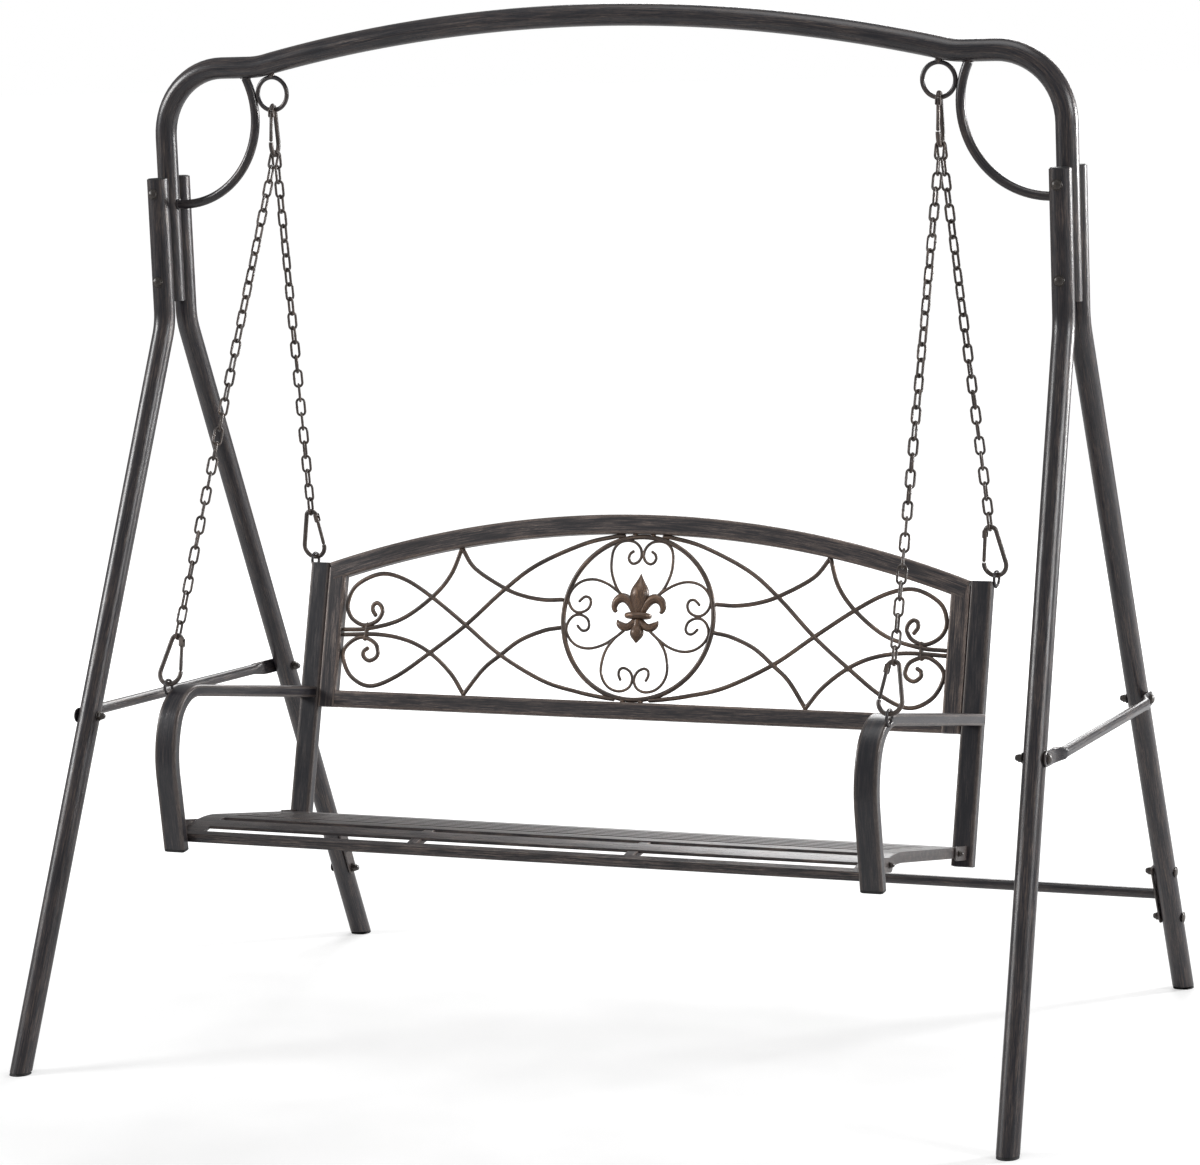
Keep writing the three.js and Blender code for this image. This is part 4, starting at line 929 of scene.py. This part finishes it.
def end_cap(name, at, lean, face, replaced=()):
    """A moulded plug in a tube's lower end: its rim and its rounded floor."""
    form = Form()
    outline = rounded_box(face, DEPTH, TUBE_CORNER)
    for height, inset in CAP_PROFILE:
        for a, b, _ in outline:
            place = (a * (1 - 2 * inset / face), b * (1 - 2 * inset / DEPTH), height)
            form.point(place, (a, b, height), 0.2)
    form.skin(len(CAP_PROFILE), len(outline), turned=True)
    place = BENCH @ Matrix.Translation(at) @ Matrix.Rotation(lean, 4, "X")
    piece(name, form, "bench", PLASTIC, replaced, place)


def post(side, sign):
    x = sign * (POST_X - POST_FACE / 2)
    foot = BACK @ Vector((x, DEPTH / 2, 0))
    top = BACK @ Vector((x, DEPTH / 2, POST_LENGTH))
    form = sweep([foot, top], rounded_box(POST_FACE, DEPTH, 4), X_AXIS)
    trim = lug(sign, SEAT_BOLTS["rear"] - LUG_END, POST_FOOT[0] + DEPTH / 2, SEAT_BOLTS["rear"])
    centre = rear_eye_centre()
    trim.add(eye(POST_X, centre.y, centre.z, sign))
    form.add(trim.moved(BENCH))
    piece(f"flat_post_{side}", form, "bench", ARM_PAINT, [f"post_{side}"])
    at = Vector((x, *POST_FOOT)) + Matrix.Rotation(-POST_LEAN, 3, "X") @ Vector((0, DEPTH / 2, PLUG - 1))
    end_cap(f"post_cap_{side}", at, -POST_LEAN, POST_FACE)


def back_frame():
    form = Form()
    radius = BACK_ARC - RAIL_FACE / 2
    centre_w = BACK_CROWN - BACK_ARC
    reach = asin((BACK_HALF - 1) / BACK_ARC)
    steps = 60
    angles = [reach * (2 * k / steps - 1) for k in range(steps + 1)]
    points = [(radius * sin(t), BACK_MIDDLE, centre_w + radius * cos(t)) for t in angles]
    form.add(sweep(points, rounded_box(DEPTH, RAIL_FACE, RAIL_CORNER), Y_AXIS))
    stile = rounded_box(DEPTH - FLUSH_STEP, RAIL_FACE, RAIL_CORNER)
    low = LOW_RAIL_TOP - LOW_RAIL_FACE
    for _, sign in SIDES:
        x = sign * (BACK_HALF - RAIL_FACE / 2)
        form.add(sweep([(x, BACK_MIDDLE, low), (x, BACK_MIDDLE, POST_LENGTH - 9)], stile, Y_AXIS))
    w = LOW_RAIL_TOP - LOW_RAIL_FACE / 2
    x = BACK_HALF - RAIL_FACE + 1
    low_bar = rounded_box(DEPTH - 2 * FLUSH_STEP, LOW_RAIL_FACE, RAIL_CORNER)
    form.add(sweep([(-x, BACK_MIDDLE, w), (x, BACK_MIDDLE, w)], low_bar, Y_AXIS))
    piece("welded_back_frame", form, "bench", BAR_PAINT, ["back_frame"], BACK)


def lattice_place(sign, share):
    return (sign * share[0] * BACK_INNER, BACK_MIDDLE, POST_LENGTH - share[1] * BACK_HEIGHT)


def outside_ring(points):
    """Only the points up to the ring, and the last of them on its rod."""
    kept = []
    for p in points:
        kept.append(p)
        if hypot(p[0], p[2] - MEDALLION_W) < MEDALLION_RADIUS:
            break
    return kept


def lattice(side, sign):
    form = Form()
    section = circle(LATTICE_ROD / 2, 14, 0.3)
    for shares in (UPPER_SCROLL_SHARES, LOWER_SCROLL_SHARES, *STRAIGHTER_ROD_SHARES):
        points = outside_ring(smooth([lattice_place(sign, s) for s in shares], 7))
        form.add(sweep(points, section, Y_AXIS, ends="dome"))
    for share in CROSSING_SHARES:
        form.add(blob(lattice_place(sign, share), LATTICE_ROD * 0.72))
    piece(f"scrolled_rods_{side}", form, "bench", ROD_PAINT, [f"lattice_{side}"], BACK)


def medallion():
    centre = (0, BACK_MIDDLE, MEDALLION_W)
    form = round_ring(centre, Y_AXIS, MEDALLION_RADIUS, MEDALLION_ROD, 96, 0.3, 16)
    section = circle(SCROLL_ROD / 2, 12, 0.35)
    hearts = (SIDE_HEART_SHARES, TOP_HEART_SHARES, SIDE_HEART_SHARES, BOTTOM_HEART_SHARES)
    for quarter, shares in enumerate(hearts):
        axis = quarter * pi / 2
        lift = 0 if quarter % 2 else SIDE_HEART_LIFT_SHARE * MEDALLION_RADIUS
        for _, sign in SIDES:
            places = []
            for out, across in shares:
                u = out * MEDALLION_RADIUS
                v = sign * across * MEDALLION_RADIUS
                x = u * cos(axis) - v * sin(axis)
                w = MEDALLION_W + lift + u * sin(axis) + v * cos(axis)
                places.append((x, BACK_MIDDLE, w))
            form.add(sweep(smooth(places, 6), section, Y_AXIS, ends="dome"))
    for w in (1, -1):
        for x in (-RING_WELD_X, RING_WELD_X):
            form.add(blob((x, BACK_MIDDLE, MEDALLION_W + w * (MEDALLION_RADIUS + 2)), 5.5, 0.8))
    piece("ring_with_hearts", form, "bench", ROD_PAINT, ["medallion"], BACK)


def limb(shares, mirror=1):
    """A cast petal: a swelling and tapering bar with a ridge along its front."""
    dense = smooth([(x * mirror, w, half) for x, w, half in shares], 5)
    points = [(p[0] * MEDALLION_RADIUS, 0, p[1] * MEDALLION_RADIUS) for p in dense]
    scales = [max(p[2], LEAST_HALF_SHARE) * MEDALLION_RADIUS for p in dense]
    section = []
    for j in range(LIMB_SIDES):
        angle = 2 * pi * j / LIMB_SIDES
        ridge = abs(cos(angle)) ** 1.5
        depth = cos(angle) * ORNAMENT_DEPTH_SHARE * (1 + RIDGE_SHARE * ridge)
        section.append((depth, sin(angle), 0.25 + 0.75 * ridge))
    return sweep(points, section, Y_AXIS, ends="dome", scales=scales)


def ornament():
    form = limb(CENTRE_PETAL_SHARES)
    form.add(limb(STEM_SHARES))
    for mirror in (-1, 1):
        form.add(limb(UPPER_LEAF_SHARES, mirror))
        form.add(limb(LOWER_LEAF_SHARES, mirror))
    up, half, thick = (share * MEDALLION_RADIUS for share in BAND_SHARES)
    angles = [2 * pi * k / BAND_STEPS for k in range(BAND_STEPS)]
    band = [(half * sin(t), -half * BAND_DEPTH_SHARE * cos(t), up) for t in angles]
    form.add(sweep(band, circle(thick, 10, 0.8), Z_AXIS, closed=True))
    place = BACK @ Matrix.Translation((0, BACK_MIDDLE, MEDALLION_W))
    piece("cast_lily", form, "bench", COPPER, ["ornament"], place, 60)


def seat_places():
    """Places along the seat's profile from the rear to the front, with every slot's edges among them."""
    edges = {SEAT_REAR, SEAT_FRONT, SEAT_KNEE}
    for middle in SLOT_MIDDLES:
        edges |= {middle - SLOT_WIDTH / 2, middle + SLOT_WIDTH / 2}
    y = SEAT_KNEE
    while y > SEAT_FRONT:
        if min(abs(y - e) for e in edges) > LEAST_CURVE_STEP:
            edges.add(y)
        y -= CURVE_STEP
    return sorted(edges, reverse=True)


def in_slot(y):
    return any(abs(y - middle) < SLOT_WIDTH / 2 for middle in SLOT_MIDDLES)


def seat():
    places = seat_places()
    columns = [-SEAT_HALF, -SLOT_HALF, -SLOT_HALF / 3, SLOT_HALF / 3, SLOT_HALF, SEAT_HALF]
    sheet = bmesh.new()
    grid = []
    for y in places:
        z = SEAT_TOP - seat_drop(y)
        grid.append([sheet.verts.new((x, y, z)) for x in columns])
    for k in range(len(places) - 1):
        open_here = in_slot((places[k] + places[k + 1]) / 2)
        for j in range(len(columns) - 1):
            if open_here and 0 < j < len(columns) - 2:
                continue
            sheet.faces.new((grid[k][j], grid[k + 1][j], grid[k + 1][j + 1], grid[k][j + 1]))
    border = [e for e in sheet.edges if e.is_boundary]
    lowered = bmesh.ops.extrude_edge_only(sheet, edges=border)["geom"]
    for v in (g for g in lowered if isinstance(g, bmesh.types.BMVert)):
        outer = abs(abs(v.co.x) - SEAT_HALF) < 0.5 or v.co.y > SEAT_REAR - 0.5
        front = v.co.y < SEAT_FRONT + 0.5
        v.co.z -= SEAT_FRONT_FLANGE if front else SEAT_FLANGE if outer else SLOT_LIP
    bmesh.ops.recalc_face_normals(sheet, faces=sheet.faces)
    if max(sheet.faces, key=lambda f: f.calc_area()).normal.z < 0:
        bmesh.ops.reverse_faces(sheet, faces=sheet.faces)
    form = Form()
    sheet.verts.index_update()
    for v in sheet.verts:
        form.point(v.co, (v.co.y, v.co.z, v.co.x), 0.0)
    form.faces = [tuple(v.index for v in f.verts) for f in sheet.faces]
    sheet.free()
    # The seat's lighter paint is painted sheen for the light on its top
    made = piece("slotted_seat", form, "bench", SEAT_PAINTED_SHEEN, ["seat"], BENCH, 50)
    skin = made.modifiers.new("sheet", "SOLIDIFY")
    skin.thickness = SEAT_SHEET * MM
    skin.offset = -1
    soft = made.modifiers.new("edges", "BEVEL")
    soft.width = SEAT_EDGE * MM
    soft.segments = 2
    soft.limit_method = "ANGLE"
    soft.angle_limit = radians(40)
    supports = Form()
    for _, sign in SIDES:
        x = sign * SUPPORT_X
        path = [(x, y, SEAT_TOP - seat_drop(y) - SUPPORT_DROP) for y in places[1:-1]]
        path[0] = (x, SEAT_REAR - 2, SEAT_TOP - SUPPORT_DROP)
        supports.add(sweep(path, rounded_box(20, 11, 1.6, 3), X_AXIS))
    piece("seat_supports", supports, "bench", BAR_PAINT, (), BENCH)


def seat_bolts(side, sign):
    grip = 2 + TAB + GAP
    for end, y in SEAT_BOLTS.items():
        z = SEAT_TOP - seat_drop(y) - SEAT_BOLT_DROP
        at = (sign * (SEAT_HALF - 2 + grip / 2), y, z)
        place = BENCH @ along_matrix(at, X_AXIS * sign, Y_AXIS)
        fastener("seat", f"{end}_{side}", "bench", bolt(grip, SEAT_BOLT_SIZE), place)


# Hangers

TAPER = asin((HOOK_WIDE - HOOK_NARROW) / (HOOK_LENGTH - HOOK_WIDE - HOOK_NARROW))
NARROW_Z = HOOK_LENGTH - HOOK_NARROW
GATE_TOP = Vector((HOOK_NARROW * cos(TAPER), 0, NARROW_Z + HOOK_NARROW * sin(TAPER)))
GATE_BOTTOM = Vector((HOOK_WIDE * cos(TAPER), 0, HOOK_WIDE + HOOK_WIDE * sin(TAPER)))
GATE_LINE = (GATE_BOTTOM - GATE_TOP).normalized()
PIVOT = GATE_TOP + GATE_LINE * (GATE_END_GAP + PIVOT_INSET)


def hook_frame():
    points = arc(HOOK_WIDE, 0, HOOK_WIDE, TAPER, -pi - 2 * TAPER, 30)
    points += arc(HOOK_NARROW, 0, NARROW_Z, pi - TAPER, -pi + 2 * TAPER, 20)
    form = sweep(points, circle(HOOK_WIRE / 2, 16, 0.35), Y_AXIS)
    length = GATE_END_GAP + 2 * PIVOT_INSET
    middle = GATE_TOP + GATE_LINE * (length / 2 - HOOK_WIRE / 2)
    for face in (-1, 1):
        y = face * (GATE / 2 + GAP + CHEEK / 2)
        turn = along_matrix((middle.x, y, middle.z), GATE_LINE, X_AXIS)
        cheek = plate(HOOK_WIRE, length, CHEEK, 2.6)
        form.add(cheek.moved(turn @ Matrix.Rotation(pi / 2, 4, "Z")))
    pin = lathe(PIN_PROFILE, 14, 0.7)
    return form.add(pin.moved(along_matrix(PIVOT, Y_AXIS, X_AXIS)))


def hook_gate():
    start = GATE_TOP + GATE_LINE * (GATE_END_GAP + GATE / 2 * DOME_HEIGHT)
    end = GATE_BOTTOM - GATE_LINE * (GATE_LATCH_GAP + GATE / 2 * DOME_HEIGHT)
    return sweep([start, start.lerp(end, 0.5), end], circle(GATE / 2, 16, 0.35), Y_AXIS, ends="dome")


def link_form(inner):
    """One welded link, long along Z and flat in Y."""
    radius = (LINK_WIDTH - CHAIN_WIRE) / 2
    stretch = inner / 2 + CHAIN_WIRE / 2 - radius
    points = arc(radius, 0, stretch, 0, pi, 9) + arc(radius, 0, -stretch, pi, pi, 9)
    form = sweep(points, circle(CHAIN_WIRE / 2, 10, 0.4), Y_AXIS, closed=True)
    seam = lathe(SEAM_PROFILE, 10, 0.8)
    return form.add(seam.moved(Matrix.Translation((radius, 0, 0))))


def chain(name, start, end, count, turn):
    along = end - start
    direction = along.normalized()
    seat_depth = HOOK_WIRE / 2 + CHAIN_WIRE / 2 + 0.05
    inner = (along.length + 2 * seat_depth - CHAIN_WIRE) / count
    form = Form()
    for i in range(count):
        share = i / (count - 1)
        twist = CHAIN_TWIST * share - turn * (1 - share) + (i % 2) * pi / 2
        at = start + direction * ((inner + CHAIN_WIRE) / 2 - seat_depth + inner * i)
        if 0 < i < count - 1:
            twist += radians(random.uniform(-LINK_WOBBLE, LINK_WOBBLE))
        place = along_matrix(at, direction, X_AXIS) @ Matrix.Rotation(twist, 4, "Z")
        form.add(link_form(inner).moved(place))
    piece(f"link_{name}", form, "bench", HANGER, [name])


def hook_wire_place(sign, end):
    front = end == "front"
    outer_x = ARM_X if front else POST_X
    centre = Vector((0, *FRONT_EYE)) if front else rear_eye_centre()
    centre.x = sign * (outer_x + EYE_WIRE / 2 - WELD_BITE)
    place = BENCH @ centre
    inner = (EYE_OUTER / 2 - EYE_WIRE) * cos(pi / EYE_SOLID_CHORDS)
    place.z += inner - GAP - HOOK_WIRE / 2
    return place


def hanger(side, word, matrix):
    name = f"{word}_{side}"
    piece(f"pear_hook_{name}", hook_frame(), "bench", HANGER, [f"hook_{name}"], matrix)
    piece(f"sprung_gate_{name}", hook_gate(), f"gate_{name}_body", HANGER, [f"gate_{name}"], matrix)


def hangers(side, sign):
    ring_gap = RING_WIRE / 2 + GAP + HOOK_WIRE / 2
    top_wire = Vector((sign * RING_X, 0, PIVOT_Z + ring_gap - HOOK_LENGTH))
    turn = TOP_HOOK_TURN[side]
    facing = Vector((sin(turn), -cos(turn), 0))
    hanger(side, "top", along_matrix(top_wire, Z_AXIS, facing))
    rise = HOOK_WIDE - drop_of(CHAIN_SPREAD, HOOK_WIDE)
    for end, end_sign in END_SIGN.items():
        low = hook_wire_place(sign, end)
        high = top_wire - facing * end_sign * CHAIN_SPREAD + Z_AXIS * rise
        matrix = along_matrix(low, high - low, X_AXIS * -sign)
        hanger(side, end, matrix)
        foot = matrix @ Vector((0, 0, HOOK_LENGTH))
        chain(f"chain_{end}_{side}", high, foot, LINKS[end], turn)


# Studio


def pale_floor():
    material, tree, shader = new_material("pale_floor")
    place = node(tree, "ShaderNodeTexCoord").outputs["Object"]
    cloud = clouds(tree, place, 6.0, 2.0, 0.5)
    color = ramp(tree, cloud, [(0.3, grey(FLOOR_GREYS[0])), (0.7, grey(FLOOR_GREYS[1]))])
    away = node(tree, "ShaderNodeVectorMath", {"Vector": place}, operation="LENGTH").outputs["Value"]
    level = node(tree, "ShaderNodeMapRange", {"Value": away, **FLOOR_GLOW}).outputs["Result"]
    seen = node(tree, "ShaderNodeLightPath").outputs["Is Camera Ray"]
    feed(tree, shader, {
        "Base Color": color,
        "Roughness": 0.9,
        "Specular IOR Level": 0.1,
        "Emission Color": WHITE,
        "Emission Strength": times(tree, seen, level),
    })
    return material


def studio():
    world = bpy.data.worlds.new("studio")
    bpy.context.scene.world = world
    world.use_nodes = True
    tree = world.node_tree
    tree.nodes.clear()
    seen = node(tree, "ShaderNodeLightPath").outputs["Is Camera Ray"]
    soft = node(tree, "ShaderNodeBackground", {"Color": WHITE, "Strength": AMBIENT_LIGHT})
    bright = node(tree, "ShaderNodeBackground", {"Color": WHITE, "Strength": BACKGROUND_LIGHT})
    blend = node(tree, "ShaderNodeMixShader", {0: seen, 1: soft.outputs[0], 2: bright.outputs[0]})
    node(tree, "ShaderNodeOutputWorld", {"Surface": blend.outputs[0]})

    mesh = bpy.data.meshes.new("floor")
    a = FLOOR_REACH
    mesh.from_pydata([(-a, -a, 0), (a, -a, 0), (a, a, 0), (-a, a, 0)], [], [(0, 1, 2, 3)])
    mesh.materials.append(pale_floor())
    floor = linked("floor", mesh)

    for name, at, size, power in LAMPS:
        lamp = bpy.data.lights.new(name, "AREA")
        lamp.shape = "SQUARE"
        lamp.size = size
        lamp.energy = power
        made = linked(name, lamp)
        made.location = at
        made.rotation_mode = "QUATERNION"
        made.rotation_quaternion = (LAMP_AIM - Vector(at)).to_track_quat("-Z", "Y")


def camera():
    data = bpy.data.cameras.new("photo_camera")
    data.lens = CAMERA_LENS
    data.sensor_width = CAMERA_SENSOR
    data.clip_end = CAMERA_CLIP
    yaw, pitch, roll = CAMERA_YAW, CAMERA_PITCH, CAMERA_ROLL
    back = Vector((sin(yaw) * cos(pitch), -cos(yaw) * cos(pitch), sin(pitch)))
    right = Vector((cos(yaw), sin(yaw), 0))
    up = back.cross(right)
    rolled_right = right * cos(roll) + up * sin(roll)
    rolled_up = up * cos(roll) - right * sin(roll)
    made = linked("photo_camera", data)
    made.matrix_world = framed(rolled_right, rolled_up, back, CAMERA_AT)
    bpy.context.scene.camera = made


beam = sweep(beam_points(), circle(RADIUS, 32), Y_AXIS)
piece("bent_top_beam", beam, "stand", PAINT, ["top_beam"])
rear_crossbar()
back_frame()
medallion()
ornament()
seat()
for side, sign in SIDES:
    for end in END_SIGN:
        leg(side, sign, end)
    corner_arc(side, sign)
    hanging_ring(side, sign)
    side_brace(side, sign)
    stand_bolts(side, sign)
    arm(side, sign)
    post(side, sign)
    lattice(side, sign)
    seat_bolts(side, sign)
    hangers(side, sign)

studio()
camera()
bpy.context.scene.view_settings.view_transform = "Standard"

bpy.context.view_layer.update()
